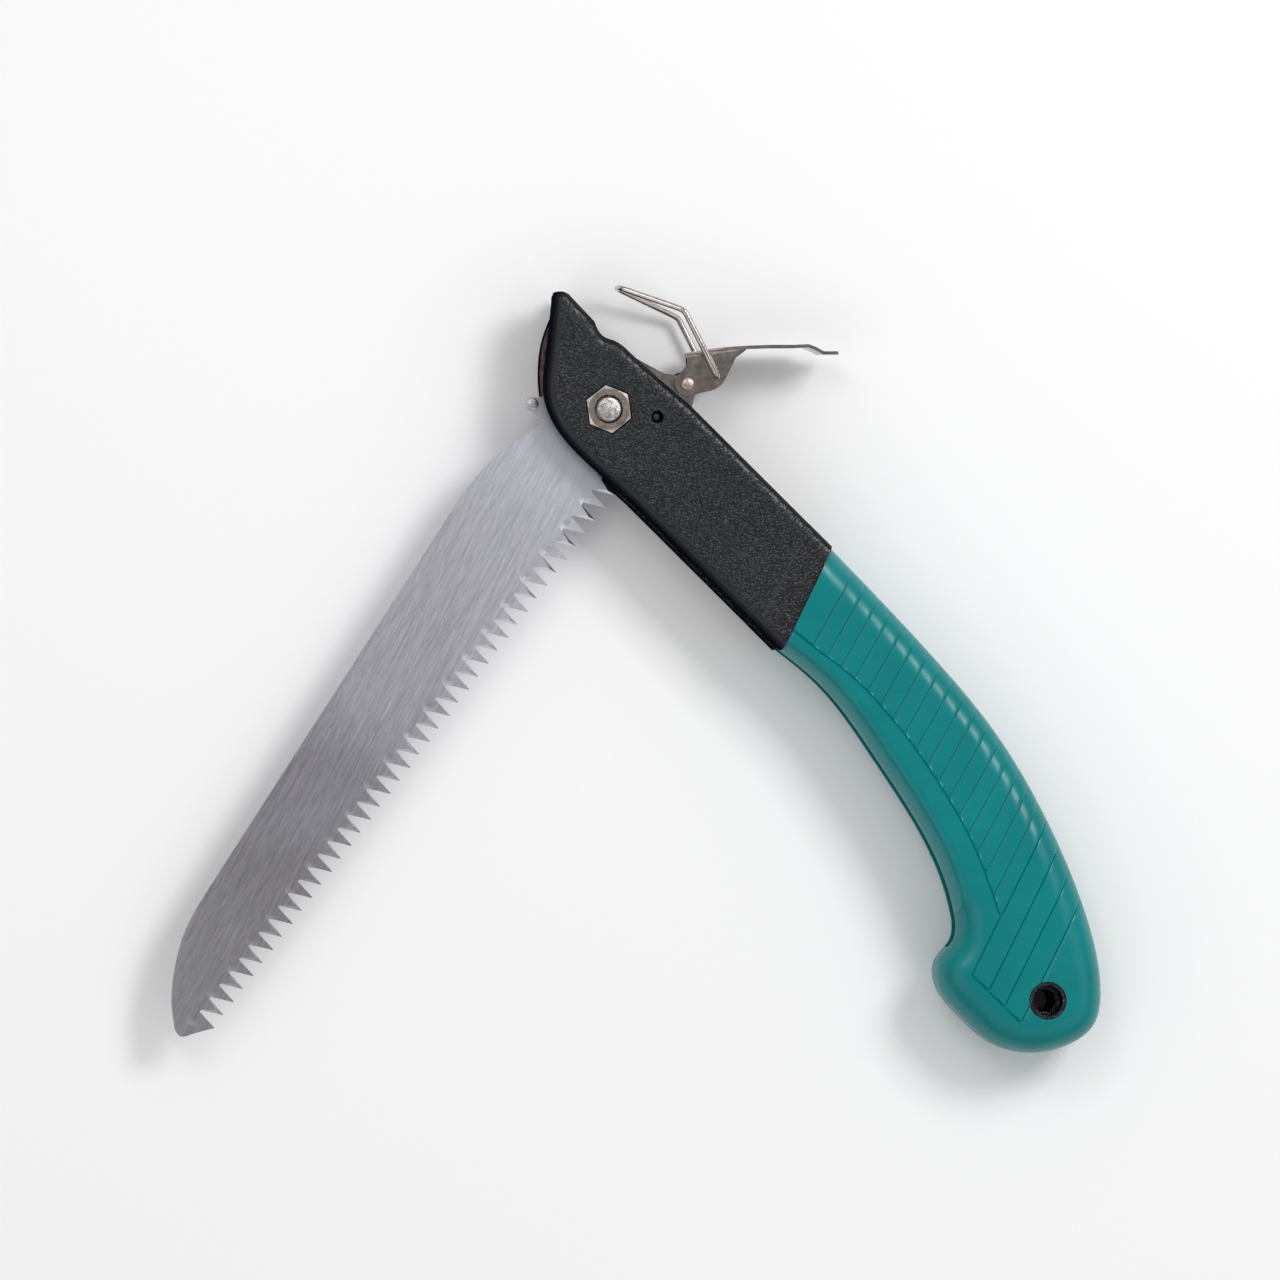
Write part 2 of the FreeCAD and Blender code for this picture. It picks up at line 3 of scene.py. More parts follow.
import bpy
import numpy as np
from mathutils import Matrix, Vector
from mathutils.geometry import delaunay_2d_cdt
from mathutils.kdtree import KDTree


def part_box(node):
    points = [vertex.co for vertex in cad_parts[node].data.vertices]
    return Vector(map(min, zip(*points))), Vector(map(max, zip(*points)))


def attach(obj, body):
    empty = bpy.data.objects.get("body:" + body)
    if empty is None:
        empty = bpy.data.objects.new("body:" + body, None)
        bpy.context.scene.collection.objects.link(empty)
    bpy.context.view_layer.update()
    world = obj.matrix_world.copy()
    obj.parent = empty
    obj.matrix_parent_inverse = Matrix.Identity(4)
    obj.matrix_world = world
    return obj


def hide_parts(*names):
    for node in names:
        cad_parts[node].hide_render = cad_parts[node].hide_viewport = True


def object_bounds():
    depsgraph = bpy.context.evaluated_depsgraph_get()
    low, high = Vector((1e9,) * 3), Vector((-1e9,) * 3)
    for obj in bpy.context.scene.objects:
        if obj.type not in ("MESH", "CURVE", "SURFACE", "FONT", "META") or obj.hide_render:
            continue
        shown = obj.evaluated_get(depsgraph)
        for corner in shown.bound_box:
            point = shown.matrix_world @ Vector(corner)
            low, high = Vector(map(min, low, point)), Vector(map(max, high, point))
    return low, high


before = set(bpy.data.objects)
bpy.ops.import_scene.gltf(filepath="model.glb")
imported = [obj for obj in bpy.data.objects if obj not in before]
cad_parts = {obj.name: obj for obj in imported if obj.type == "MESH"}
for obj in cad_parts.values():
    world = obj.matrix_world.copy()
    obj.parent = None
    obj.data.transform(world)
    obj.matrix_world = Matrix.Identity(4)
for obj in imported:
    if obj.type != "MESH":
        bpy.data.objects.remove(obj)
cad_box = [list(corner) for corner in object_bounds()]

# Shapes are drawn in millimetres about the blade's pivot, with z = 0 on the blade's mid-plane.
MM = 0.001
nut_low, nut_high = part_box("pivot_nut")
PIVOT = Vector(((nut_low.x + nut_high.x) / 2, (nut_low.y + nut_high.y) / 2, 0.0))
HANG_HOLE = (-PIVOT.x / MM, -PIVOT.y / MM)
FLOOR_Z = cad_box[0][2]

# Half thicknesses of head, core, grip and slot, the grip's skin over the core, and the way the
# blade points at rest.
HEAD_HALF = 9.5
CORE_HALF = 8.0
GRIP_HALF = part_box("grip_near")[1].z / MM
GRIP_SKIN = 3.6
SLOT_HALF = 2.5
BLADE_ANGLE = 232.7

# How far the tools that cut right through reach on each side.
THROUGH = 20

# The blade in its own directions: x from the pivot to the tip, y towards the teeth.
TOOTH_LINE = 14.6
TOOTH_DEPTH = 5.0
FIRST_TIP = 14.3
TOOTH_PITCH = 3.886
TEETH = 42
TIP_LEAN = 0.86
TIP_FLAT = 0.22
GULLET_RADIUS = 0.4
HALF_SHEET = 0.625
EDGE_BREAK = 0.06
LAND = 0.28
TOOTH_SET = 0.32
TANG_RADIUS = 10.0
SHOULDER_RADIUS = 11.7
FOLD_SHOULDER = 37.8
OPEN_SHOULDER = 217.4
KEEPER = (9.4, -14.4)
EAR_RADIUS = 1.75
HEEL = [(12.4, 9.6), (13.0, 9.62)]
BLADE_BORE = 4.55
BACK_CURVE = [(10.9, -9.6), (16.5, -11.5), (22.6, -13.3), (28.8, -14.4), (36.0, -14.8)]
NOSE_CORNER = (178.4, 11.1)
NOSE = [(150.0, -6.2), (159.0, -4.9), (168.0, -1.4), (175.16, 3.1), (179.57, 7.4)]


# ---- plane geometry

def polar(radius, angle, centre=(0.0, 0.0)):
    return (centre[0] + radius * cos(radians(angle)), centre[1] + radius * sin(radians(angle)))


def unit(vector):
    return vector / np.linalg.norm(vector)


def turned(points, angle):
    """Points turned about the pivot by an angle in degrees."""
    c, s = cos(radians(angle)), sin(radians(angle))
    p = np.asarray(points, float)
    return np.column_stack([p[:, 0] * c - p[:, 1] * s, p[:, 0] * s + p[:, 1] * c])


def straight(points, step):
    """Points along straight runs, about one step apart, without the last one."""
    out = []
    for a, b in zip(points, points[1:]):
        a, b = np.array(a, float), np.array(b, float)
        count = max(1, round(np.linalg.norm(b - a) / step))
        out += [a + (b - a) * i / count for i in range(count)]
    return out


def spline(points, step):
    """Points along a natural cubic curve through the given ones, without the last one."""
    p = np.array(points, float)
    t = np.concatenate([[0.0], np.cumsum(np.linalg.norm(np.diff(p, axis=0), axis=1))])
    n = len(p)
    gap = np.diff(t)
    matrix = np.eye(n)
    right = np.zeros_like(p)
    for i in range(1, n - 1):
        matrix[i, i - 1:i + 2] = (gap[i - 1], 2 * (gap[i - 1] + gap[i]), gap[i])
        right[i] = 6 * ((p[i + 1] - p[i]) / gap[i] - (p[i] - p[i - 1]) / gap[i - 1])
    bend = np.linalg.solve(matrix, right)
    out = []
    for i in range(n - 1):
        count = max(1, round(gap[i] / step))
        for k in range(count):
            u = k / count * gap[i]
            v = gap[i] - u
            out.append((bend[i] * v ** 3 + bend[i + 1] * u ** 3) / (6 * gap[i])
                       + (p[i] / gap[i] - bend[i] * gap[i] / 6) * v
                       + (p[i + 1] / gap[i] - bend[i + 1] * gap[i] / 6) * u)
    return out


def arc(centre, radius, start, end, step):
    """Points along an arc between two angles, without the last one."""
    count = max(2, round(radius * abs(radians(end - start)) / step))
    angles = [start + (end - start) * i / count for i in range(count)]
    return [np.array(polar(radius, angle, centre)) for angle in angles]


def past_end(line, distance):
    """The point a distance straight on from the end of a line."""
    before, end = np.array(line[-2]), np.array(line[-1])
    return end + unit(end - before) * distance


def double_area(points):
    """Twice the area inside an outline, and negative if the outline runs clockwise."""
    x, y = points[:, 0], points[:, 1]
    return np.sum(x * np.roll(y, -1) - y * np.roll(x, -1))


def counter_clockwise(points):
    p = np.asarray(points, float)
    return p if double_area(p) > 0 else p[::-1].copy()


def left_of(runs):
    """Unit directions to the left of given ones."""
    runs = runs / np.linalg.norm(runs, axis=1)[:, None]
    return np.column_stack([-runs[:, 1], runs[:, 0]])


def inward_normals(points):
    """Unit normals that point into a counter-clockwise outline."""
    return left_of(np.roll(points, -1, axis=0) - np.roll(points, 1, axis=0))


def inset(points, distance):
    """Points of an open line moved to the right of their direction of travel."""
    p = np.asarray(points, float)
    return p - distance * left_of(np.gradient(p, axis=0))


def side_of_line(points, start, end):
    """Distance of points to the left of the line from start to end."""
    run = unit(np.array(end, float) - np.array(start, float))
    away = np.asarray(points, float) - np.array(start, float)
    return run[0] * away[:, 1] - run[1] * away[:, 0]


class Nearest:
    """Distance from points to a densely sampled line."""

    def __init__(self, line):
        self.line = np.asarray(line, float)
        self.tree = KDTree(len(self.line))
        for index, point in enumerate(self.line):
            self.tree.insert((point[0], point[1], 0.0), index)
        self.tree.balance()

    def __call__(self, points):
        return np.array([self.tree.find((x, y, 0.0))[2] for x, y in points])

    def signed(self, points):
        """Distance, positive to the left of the line's direction of travel."""
        out = []
        last = len(self.line) - 1
        for x, y in points:
            _, index, distance = self.tree.find((x, y, 0.0))
            a = self.line[max(index - 1, 0)]
            b = self.line[min(index + 1, last)]
            cross = (b[0] - a[0]) * (y - a[1]) - (b[1] - a[1]) * (x - a[0])
            out.append(distance if cross > 0 else -distance)
        return np.array(out)


# ---- mesh helpers

def build(name, vertices, faces, material=None, sharp=32):
    """A mesh object from millimetres about the pivot, smooth except at sharp edges."""
    mesh = bpy.data.meshes.new(name)
    placed = np.asarray(vertices, float) * MM + np.array(PIVOT)
    mesh.from_pydata(placed.tolist(), [], [list(map(int, face)) for face in faces])
    mesh.validate()
    mesh.update()
    piece = bpy.data.objects.new(name, mesh)
    bpy.context.scene.collection.objects.link(piece)
    if material:
        mesh.materials.append(material)
    soften(piece, sharp)
    return piece


def soften(piece, sharp=32):
    piece.data.polygons.foreach_set("use_smooth", [True] * len(piece.data.polygons))
    piece.data.set_sharp_from_angle(angle=radians(sharp))


def fill(outline, extra=()):
    """Triangles inside a counter-clockwise outline, with extra points inside it."""
    n = len(outline)
    edges = [(i, (i + 1) % n) for i in range(n)]
    points = [Vector(p) for p in outline] + [Vector(p) for p in extra]
    verts, _, faces, *_ = delaunay_2d_cdt(points, edges, [], 0, 1e-9, False)
    verts = np.array([tuple(v) for v in verts])
    owner = {}
    for index, face in enumerate(faces):
        for k in range(3):
            owner[face[k], face[(k + 1) % 3]] = index
    rim = set(edges)
    inside = {owner[edge] for edge in edges if edge in owner}
    waiting = list(inside)
    while waiting:
        face = faces[waiting.pop()]
        for k in range(3):
            edge = (face[k], face[(k + 1) % 3])
            other = owner.get(edge[::-1])
            if edge not in rim and other is not None and other not in inside:
                inside.add(other)
                waiting.append(other)
    return verts, [faces[index] for index in sorted(inside)]


def ring_walls(first, second, count):
    """Quads between two closed rings of equal length, given by their first indices."""
    pairs = [(i, (i + 1) % count) for i in range(count)]
    return [(first + i, first + k, second + k, second + i) for i, k in pairs]


def prism(name, outline, low, high):
    """A closed straight-sided solid."""
    outline = counter_clockwise(outline)
    n = len(outline)
    vertices = [(x, y, low) for x, y in outline] + [(x, y, high) for x, y in outline]
    faces = ring_walls(0, n, n) + [tuple(reversed(range(n))), tuple(range(n, 2 * n))]
    return build(name, vertices, faces)


def slab(name, outline, low, high, side):
    """A prism between two heights on the near side, or mirrored to the far side."""
    return prism(name, outline, *((low, high) if side > 0 else (-high, -low)))


def disc(centre, radius, count=48):
    return [polar(radius, 360 * i / count, centre) for i in range(count)]


def lathe(name, centre, profile, material, count=48, sharp=32):
    """A turned solid about a line along z: profile is (radius, z), with tiny radii at both ends."""
    vertices = []
    faces = []
    for radius, z in profile:
        vertices += [(*polar(radius, 360 * i / count, centre), z) for i in range(count)]
    for ring in range(len(profile) - 1):
        faces += ring_walls(ring * count, (ring + 1) * count, count)
    faces += [tuple(reversed(range(count))), tuple(range(len(vertices) - count, len(vertices)))]
    return build(name, vertices, faces, material, sharp)


def boolean(target, tools, operation="DIFFERENCE", sharp=32):
    """Cuts closed solids from a closed solid, or joins them to it; the tools are used up."""
    for tool in tools:
        modifier = target.modifiers.new("boolean", "BOOLEAN")
        modifier.operation = operation
        modifier.solver = "MANIFOLD"
        modifier.object = tool
        result = target.evaluated_get(bpy.context.evaluated_depsgraph_get())
        shaped = bpy.data.meshes.new_from_object(result)
        target.modifiers.remove(modifier)
        if shaped.polygons:
            target.data = shaped
        else:
            print("BOOLEAN EMPTY", target.name, tool.name)
        bpy.data.objects.remove(tool)
    soften(target, sharp)
    return target


# A ring point is dropped where it is nearer to the outline than this share of its own depth.
RING_SPARE = 0.93


def domed(name, outline, depths, free_edge, inner, height, material, side, tools, sharp=32):
    """A solid on z = 0 whose top follows height(points, depth); side -1 mirrors it below z = 0.

    depths is how far inside the outline each ring of points runs, and free_edge is the part of the
    outline that height measures its depth from. inner is sets of points for the top, each with how
    far from the outline its points begin.
    """
    outline = counter_clockwise(outline)
    normals = inward_normals(outline)
    n = len(outline)
    to_outline = Nearest(straight([*outline, outline[0]], 0.1))
    rings = []
    for depth in depths:
        ring = outline + normals * depth
        rings.append(ring[to_outline(ring) > RING_SPARE * depth])
    for inside, clear in inner:
        inside = np.asarray(inside, float)
        inside = inside[inside_outline(inside, outline)]
        rings.append(inside[to_outline(inside) > clear])
    points, triangles = fill(outline, np.vstack(rings))
    depth = Nearest(free_edge)(points)
    depth[:n] = np.where(depth[:n] < 0.1, 0.0, depth[:n])
    vertices = [(x, y, 0.0) for x, y in outline]
    vertices += [(x, y, z) for (x, y), z in zip(points, height(points, depth))]
    faces = ring_walls(0, n, n) + [tuple(reversed(range(n)))]
    faces += [tuple(n + i for i in triangle) for triangle in triangles]
    vertices = np.array(vertices)
    if side < 0:
        vertices[:, 2] *= -1
        faces = [tuple(reversed(face)) for face in faces]
    piece = build(name, vertices, faces, material, sharp)
    return boolean(piece, tools, sharp=sharp)


def inside_outline(points, outline):
    """Which points lie inside a closed outline."""
    x, y = points[:, 0], points[:, 1]
    inside = np.zeros(len(points), bool)
    for (ax, ay), (bx, by) in zip(outline, np.roll(outline, -1, axis=0)):
        crosses = (ay > y) != (by > y)
        if ay != by:
            inside ^= crosses & (x < ax + (y - ay) * (bx - ax) / (by - ay))
    return inside


def grid(low, high, step):
    """Points of a grid whose odd rows are shifted by half a step."""
    xs = np.arange(low[0], high[0], step)
    ys = np.arange(low[1], high[1], step)
    return np.array([(x + (step / 2 if j % 2 else 0), y) for j, y in enumerate(ys) for x in xs])


def smooth(share):
    """A share from 0 to 1, eased at both ends."""
    return share * share * (3 - 2 * share)


def dome(depth, radius, low, high):
    """Height of a rounded edge of a given radius, rising from low to high."""
    ratio = 1 - np.clip(np.asarray(depth, float) / radius, 0, 1)
    return low + (high - low) * np.sqrt(np.maximum(0.0, 1 - ratio ** 2))


# ---- node materials

def set_stops(ramp, stops):
    """Gives a ramp its stops, each a position with a grey level or a colour."""
    ramp.elements[0].position = stops[0][0]
    ramp.elements[1].position = stops[-1][0]
    for place, _ in stops[1:-1]:
        ramp.elements.new(place)
    elements = sorted(ramp.elements, key=lambda element: element.position)
    for element, (place, value) in zip(elements, stops):
        element.position = place
        element.color = (*value, 1) if isinstance(value, tuple) else (value, value, value, 1)


class Nodes:
    """Short forms for building a node material."""

    def __init__(self, name):
        self.material = bpy.data.materials.new(name)
        self.material.use_nodes = True
        self.tree = self.material.node_tree
        self.shader = self.tree.nodes["Principled BSDF"]

    def give(self, socket, value):
        """Links a socket to another one, or sets its value."""
        if isinstance(value, bpy.types.NodeSocket):
            self.tree.links.new(value, socket)
        else:
            socket.default_value = value

    def new(self, kind, **inputs):
        node = self.tree.nodes.new(kind)
        for key, value in inputs.items():
            self.give(node.inputs[key.replace("_", " ")], value)
        return node

    def place(self, grain=(1, 1, 1), turn=0.0, origin=(0, 0, 0)):
        """Object coordinates in millimetres, turned about z and then scaled along the turned axes."""
        coordinates = self.tree.nodes.new("ShaderNodeTexCoord")
        mapping = self.new("ShaderNodeMapping", Vector=coordinates.outputs["Object"])
        mapping.vector_type = "TEXTURE"
        mapping.inputs["Location"].default_value = origin
        mapping.inputs["Rotation"].default_value = (0, 0, radians(turn))
        mapping.inputs["Scale"].default_value = [MM / value for value in grain]
        return mapping.outputs["Vector"]

    def noise(self, vector, scale, detail=3.0, roughness=0.5, distortion=0.0):
        return self.new("ShaderNodeTexNoise", Vector=vector, Scale=scale, Detail=detail,
                        Roughness=roughness, Distortion=distortion).outputs["Fac"]

    def ramp(self, factor, stops):
        node = self.new("ShaderNodeValToRGB", Fac=factor)
        set_stops(node.color_ramp, stops)
        return node.outputs["Color"]

    def math(self, operation, a, b=0.0, clamp=False):
        node = self.tree.nodes.new("ShaderNodeMath")
        node.operation = operation
        node.use_clamp = clamp
        for socket, value in zip(node.inputs, (a, b)):
            self.give(socket, value)
        return node.outputs[0]

    def mix(self, factor, a, b, blend="MIX"):
        """Two colours, mixed or blended by a factor."""
        node = self.tree.nodes.new("ShaderNodeMix")
        node.data_type = "RGBA"
        node.blend_type = blend
        for key, value in (("Factor", factor), ("A", a), ("B", b)):
            self.give(node.inputs[key], value)
        return node.outputs["Result"]

    def bump(self, height, distance, strength=1.0, below=None):
        """Bump whose height of 1 stands for a distance in millimetres."""
        node = self.new("ShaderNodeBump", Height=height, Distance=distance * MM, Strength=strength)
        if below is not None:
            self.tree.links.new(below, node.inputs["Normal"])
        return node.outputs["Normal"]

    def set(self, **inputs):
        for key, value in inputs.items():
            self.give(self.shader.inputs[key.replace("_", " ")], value)
        return self.material


def brown_slot_blotches(n, place, tone):
    """A tone with brown blotches over it beside the slot at the front of the far shell."""
    spot = n.new("ShaderNodeSeparateXYZ", Vector=n.place((1, 1, 1), 0.0, tuple(PIVOT))).outputs
    ledge = n.ramp(n.math("ABSOLUTE", n.math("ADD", spot["Z"], SLOT_HALF)), [(0.5, 1.0), (1.6, 0.0)])
    front = n.ramp(n.math("MULTIPLY", spot["X"], -0.05), [(0.45, 0.0), (0.55, 1.0)])
    blotches = n.ramp(n.noise(place, 0.5, 4.0), [(0.35, 0.45), (0.6, 1.0)])
    # Brown blotches on the ledge beside the slot, towards the front of the shell.
    brown_mask = n.math("MULTIPLY", n.math("MULTIPLY", ledge, front), blotches)
    brown_tone = n.ramp(n.noise(place, 0.9, 4.0), [(0.3, (0.22, 0.10, 0.08)), (0.7, (0.12, 0.09, 0.085))])
    return n.mix(brown_mask, tone, brown_tone)


def black_plastic(name, brown_slot=False):
    """Moulded black plastic: pebbled flat faces, smooth rounded edges and, for the far shell, brown
    blotches beside the slot.
    """
    n = Nodes(name)
    place = n.place()
    cells = n.new("ShaderNodeTexVoronoi", Vector=place, Scale=1.7, Randomness=1.0)
    pebbles = n.ramp(cells.outputs["Distance"], [(0.08, 1.0), (0.25, 0.7), (0.55, 0.0)])
    swirl = n.noise(place, 2.2, 4.0, 0.65, 0.6)
    heights = n.ramp(n.noise(place, 0.8, 2.0), [(0.35, 0.35), (0.65, 1.0)])
    grain = n.math("ADD", n.math("MULTIPLY", pebbles, heights), n.math("MULTIPLY", swirl, 0.5))
    normal = n.new("ShaderNodeNewGeometry").outputs["Normal"]
    tilt = n.math("ABSOLUTE", n.new("ShaderNodeSeparateXYZ", Vector=normal).outputs["Z"])
    grain = n.math("MULTIPLY", grain, n.ramp(tilt, [(0.80, 0.0), (0.97, 1.0)]))
    cloud = n.noise(place, 0.05, 3.0)
    tone = n.ramp(cloud, [(0.35, (0.003, 0.004, 0.006)), (0.7, (0.006, 0.008, 0.012))])
    if brown_slot:
        tone = brown_slot_blotches(n, place, tone)
    gloss = n.ramp(n.noise(place, 0.7, 3.0), [(0.3, 0.20), (0.7, 0.30)])
    shine = n.ramp(tilt, [(0.5, 0.0), (0.95, 0.45)])
    return n.set(Base_Color=tone, Roughness=gloss, Specular_IOR_Level=shine, Normal=n.bump(grain, 0.17))


def green_rubber():
    """Soft teal overmould: satin, faintly uneven, with a very fine matt skin."""
    n = Nodes("green_grip")
    place = n.place()
    tone = n.ramp(n.noise(place, 0.06, 3.0), [(0.3, (0.0, 0.185, 0.19)), (0.75, (0.0, 0.22, 0.223))])
    gloss = n.ramp(n.noise(place, 0.4, 4.0), [(0.3, 0.25), (0.75, 0.34)])
    skin = n.noise(place, 5.0, 3.0, 0.6)
    waves = n.noise(place, 0.25, 2.0)
    fine = n.bump(skin, 0.01, 0.6, below=n.bump(waves, 0.04, 0.5))
    return n.set(Base_Color=tone, Roughness=gloss, Specular_IOR_Level=0.28, Normal=fine)


# BLADE_REACH is how far along the blade the painted sheen fades to grey.
BLADE_REACH = 180.0
BRUSHED_ACROSS = 9
DENT_RADIUS = 1.5
DENT_DEPTH = 0.15


def blade_steel():
    """Ground steel, brushed along the blade, with a painted sheen that is bright by the root and greyer
    towards the tip, dented at every other gullet.
    """
    n = Nodes("blade_steel")
    brushed = BLADE_ANGLE - 180 + BRUSHED_ACROSS
    long_marks = n.noise(n.place((0.10, 2.6, 1.0), brushed), 1.0, 5.0, 0.65)
    fine_marks = n.noise(n.place((0.35, 7.0, 1.0), brushed), 1.0, 3.0, 0.6)
    marks = n.math("ADD", n.math("MULTIPLY", long_marks, 0.5), n.math("MULTIPLY", fine_marks, 0.5))
    along_blade = n.new("ShaderNodeSeparateXYZ", Vector=n.place((1, 1, 1), BLADE_ANGLE, tuple(PIVOT)))
    along, across = along_blade.outputs["X"], along_blade.outputs["Y"]
    cloud = n.math("MULTIPLY", n.math("SUBTRACT", n.noise(n.place(), 0.03, 3.0), 0.5), 0.4)
    # Painted reflection: the base colour runs from a bright bluish sheen by the root to grey towards the
    # tip, with random clouding over it.
    painted_sheen_and_blotches = n.math("ADD", n.math("DIVIDE", along, BLADE_REACH), cloud, True)
    base = n.ramp(painted_sheen_and_blotches, [(0.0, (0.78, 0.78, 0.87)), (0.45, (0.54, 0.53, 0.60)), (0.7, (0.34, 0.33, 0.36)),
                         (1.0, (0.40, 0.39, 0.415))])
    period = 2 * TOOTH_PITCH
    turn_count = n.math("DIVIDE", n.math("SUBTRACT", along, FIRST_TIP + 0.4 * TOOTH_PITCH), period)
    beside = n.math("MULTIPLY", n.math("SUBTRACT", n.math("FRACT", turn_count), 0.5), period)
    below = n.math("SUBTRACT", across, TOOTH_LINE - TOOTH_DEPTH - 0.2)
    squares = n.math("ADD", n.math("MULTIPLY", beside, beside), n.math("MULTIPLY", below, below))
    reach = n.math("DIVIDE", n.math("SQRT", squares), DENT_RADIUS, True)
    dent = n.ramp(reach, [(0.0, 0.0), (0.5, 0.5), (1.0, 1.0)])
    tone = n.mix(0.55, base, n.ramp(marks, [(0.3, 0.3), (0.7, 0.72)]), "OVERLAY")
    gloss = n.ramp(marks, [(0.25, 0.27), (0.75, 0.46)])
    brushed_bump = n.bump(marks, 0.02, 0.8)
    return n.set(Base_Color=tone, Metallic=0.95, Roughness=gloss,
                 Normal=n.bump(dent, DENT_DEPTH, below=brushed_bump))


def metal(name, dark, bright, roughness, scale=0.8, depth=0.02, metallic=1.0):
    """Plated or bare metal with uneven tone and gloss, and small pits."""
    n = Nodes(name)
    place = n.place()
    cloud = n.noise(place, scale, 5.0, 0.65)
    tone = n.ramp(cloud, [(0.32, dark), (0.68, bright)])
    gloss = n.ramp(n.noise(place, scale * 2.3, 4.0), [(0.3, roughness), (0.75, roughness + 0.16)])
    pits = n.noise(place, scale * 4, 3.0)
    return n.set(Base_Color=tone, Metallic=metallic, Roughness=gloss, Normal=n.bump(pits, depth, 0.6))


def nylon():
    n = Nodes("washer_nylon")
    place = n.place()
    tone = n.ramp(n.noise(place, 0.5, 3.0), [(0.3, (0.55, 0.53, 0.47)), (0.7, (0.66, 0.64, 0.58))])
    return n.set(Base_Color=tone, Roughness=0.5, Normal=n.bump(n.noise(place, 3.0, 3.0), 0.02, 0.5))


BLACK = black_plastic("black_plastic")
BLACK_BROWN_SLOT = black_plastic("black_plastic_brown_slot", True)
GREEN = green_rubber()
BLADE = blade_steel()
NICKEL = metal("nickel_steel", (0.36, 0.31, 0.265), (0.68, 0.60, 0.53), 0.12, 0.5)
BOLT_END = metal("bolt_steel", (0.30, 0.29, 0.28), (0.86, 0.84, 0.82), 0.22, 0.9, 0.16)
LATCH = metal("latch_steel", (0.24, 0.21, 0.19), (0.44, 0.40, 0.37), 0.14, 0.35)
WIRE = metal("wire_steel", (0.42, 0.39, 0.375), (0.62, 0.58, 0.56), 0.10, 0.6, 0.01)
RIVET = metal("rivet_steel", (0.30, 0.22, 0.19), (0.70, 0.58, 0.52), 0.25, 1.2, 0.08)
SCREW = metal("screw_steel", (0.03, 0.03, 0.032), (0.09, 0.09, 0.095), 0.3, 1.0)
NYLON = nylon()

# ---- handle outlines

# In millimetres about the pivot, seen from the nut side. Head and grip meet along JUNCTION.
HOOD_EDGE = [(-9.3, 27.3), (-3.1, 20.8)]
NOTCH = [(-3.1, 20.8), (-2.3, 18.9), (-0.6, 17.1), (1.4, 16.4), (3.8, 15.0)]
SPINE = [(3.8, 15.0), (6.8, 12.2), (19.8, 1.05), (54.0, -32.6)]
GRIP_EDGE = [
    (54.0, -32.6), (67.0, -45.9), (82.3, -62.3), (93.3, -75.6), (104.3, -93.1), (111.2, -107.3),
    (117.6, -125.0), (119.79, -138.2), (118.0, -147.0), (111.8, -151.6), (102.0, -153.39),
    (94.2, -151.3), (85.8, -144.4), (80.2, -136.4), (80.6, -130.8), (83.9, -126.6),
    (84.1, -119.2), (78.1, -103.2), (65.4, -83.1), (51.0, -64.7), (41.9, -57.3),
]
LOWER_EDGE = [(41.9, -57.3), (6.8, -22.8)]
CHIN = [(6.8, -22.8), (-3.4, -13.6), (-11.6, -4.6), (-14.7, 3.0), (-14.4, 12.0), (-12.9, 25.4)]
HOOD_TIP = [(-12.9, 25.4), (-12.6, 27.2), (-11.3, 28.0), (-9.3, 27.3)]
FAR_CHIN = [
    (6.8, -22.8), (-3.4, -13.6), (-11.6, -4.6), (-14.3, 3.0), (-14.7, 9.0), (-13.6, 17.0),
    (-11.0, 23.5),
]
FAR_TIP = [(-11.0, 23.5), (-10.2, 25.6), (-9.3, 27.3)]
JUNCTION = (GRIP_EDGE[-1], GRIP_EDGE[0])

SLOT_RADIUS = 12.25
SLOT = (
    [(-16.0, 31.4), (-4.4, 19.6), (-1.8, 22.0), (5.0, 18.0), (4.2, 11.6)]
    + arc((0, 0), SLOT_RADIUS, 70, 2, 1.0)
    + [(13.0, 0.4), (20.85, -2.2), (115.0, -133.0), (115.2, -140.8), (112.5, -143.2), (104.5, -142.2),
       (96.2, -138.6), (88.0, -133.4), (76.0, -121.0), (30.0, -80.0), (-40.0, -30.0), (-40.0, 31.4)]
)
CORE_EDGE = inset(GRIP_EDGE, GRIP_SKIN)
CORE = spline(CORE_EDGE, 1.5) + [CORE_EDGE[-1], (36.0, -48.0), (46.0, -30.0)]
STOP_PIN = (11.7, -1.8)
RIVET_AT = (19.5, 6.0)
SCREWS = [(45.5, -30.5), (80.0, -70.0), (90.0, -142.0)]

# Holes: radii, the nut's recess across its corners and down from the face, and the hanging hole's
# bore, wider mouth and black ring.
PIVOT_BORE = 3.05
STOP_BORE = 1.5
SCREW_BORE = 3.1
NUT_RECESS = (12.2, 5.15)
HANG_BORE = 2.65
HANG_MOUTH = (3.7, 4.6)
HANG_RING = 4.55
RING_BELOW = 0.5

# How far the shells and grips run past JUNCTION before they are cut along it.
BEYOND = 4.0


def beyond_junction(towards_grip):
    """The outline of a block that covers one side of the junction between head and grip."""
    low, high = (np.array(p) for p in JUNCTION)
    run = unit(high - low)
    out = np.array([run[1], -run[0]]) * (40.0 if towards_grip else -40.0)
    low, high = low - run * 20, high + run * 20
    return [low, high, high + out, low + out]


# ---- black shells

HEAD_ROUND = 2.6
COLLAR = [(45.3, -33.2), (37.4, -48.6)]
COLLAR_ACROSS = np.array([0.89, -0.456])
COLLAR_RISE = 0.35
COLLAR_RAMP = 0.9


def head_height(points, depth):
    """Flat face with rounded edges, and a slightly raised collar next to the grip."""
    top = dome(depth, HEAD_ROUND, HEAD_HALF - HEAD_ROUND, HEAD_HALF - COLLAR_RISE)
    past = side_of_line(points, COLLAR[1], COLLAR[0])
    rise = np.clip((-past + COLLAR_RAMP / 3) / COLLAR_RAMP, 0, 1)
    return top + COLLAR_RISE * smooth(rise)


def hexagon(across_corners):
    return [polar(across_corners / 2, 98 + 60 * step) for step in range(6)]


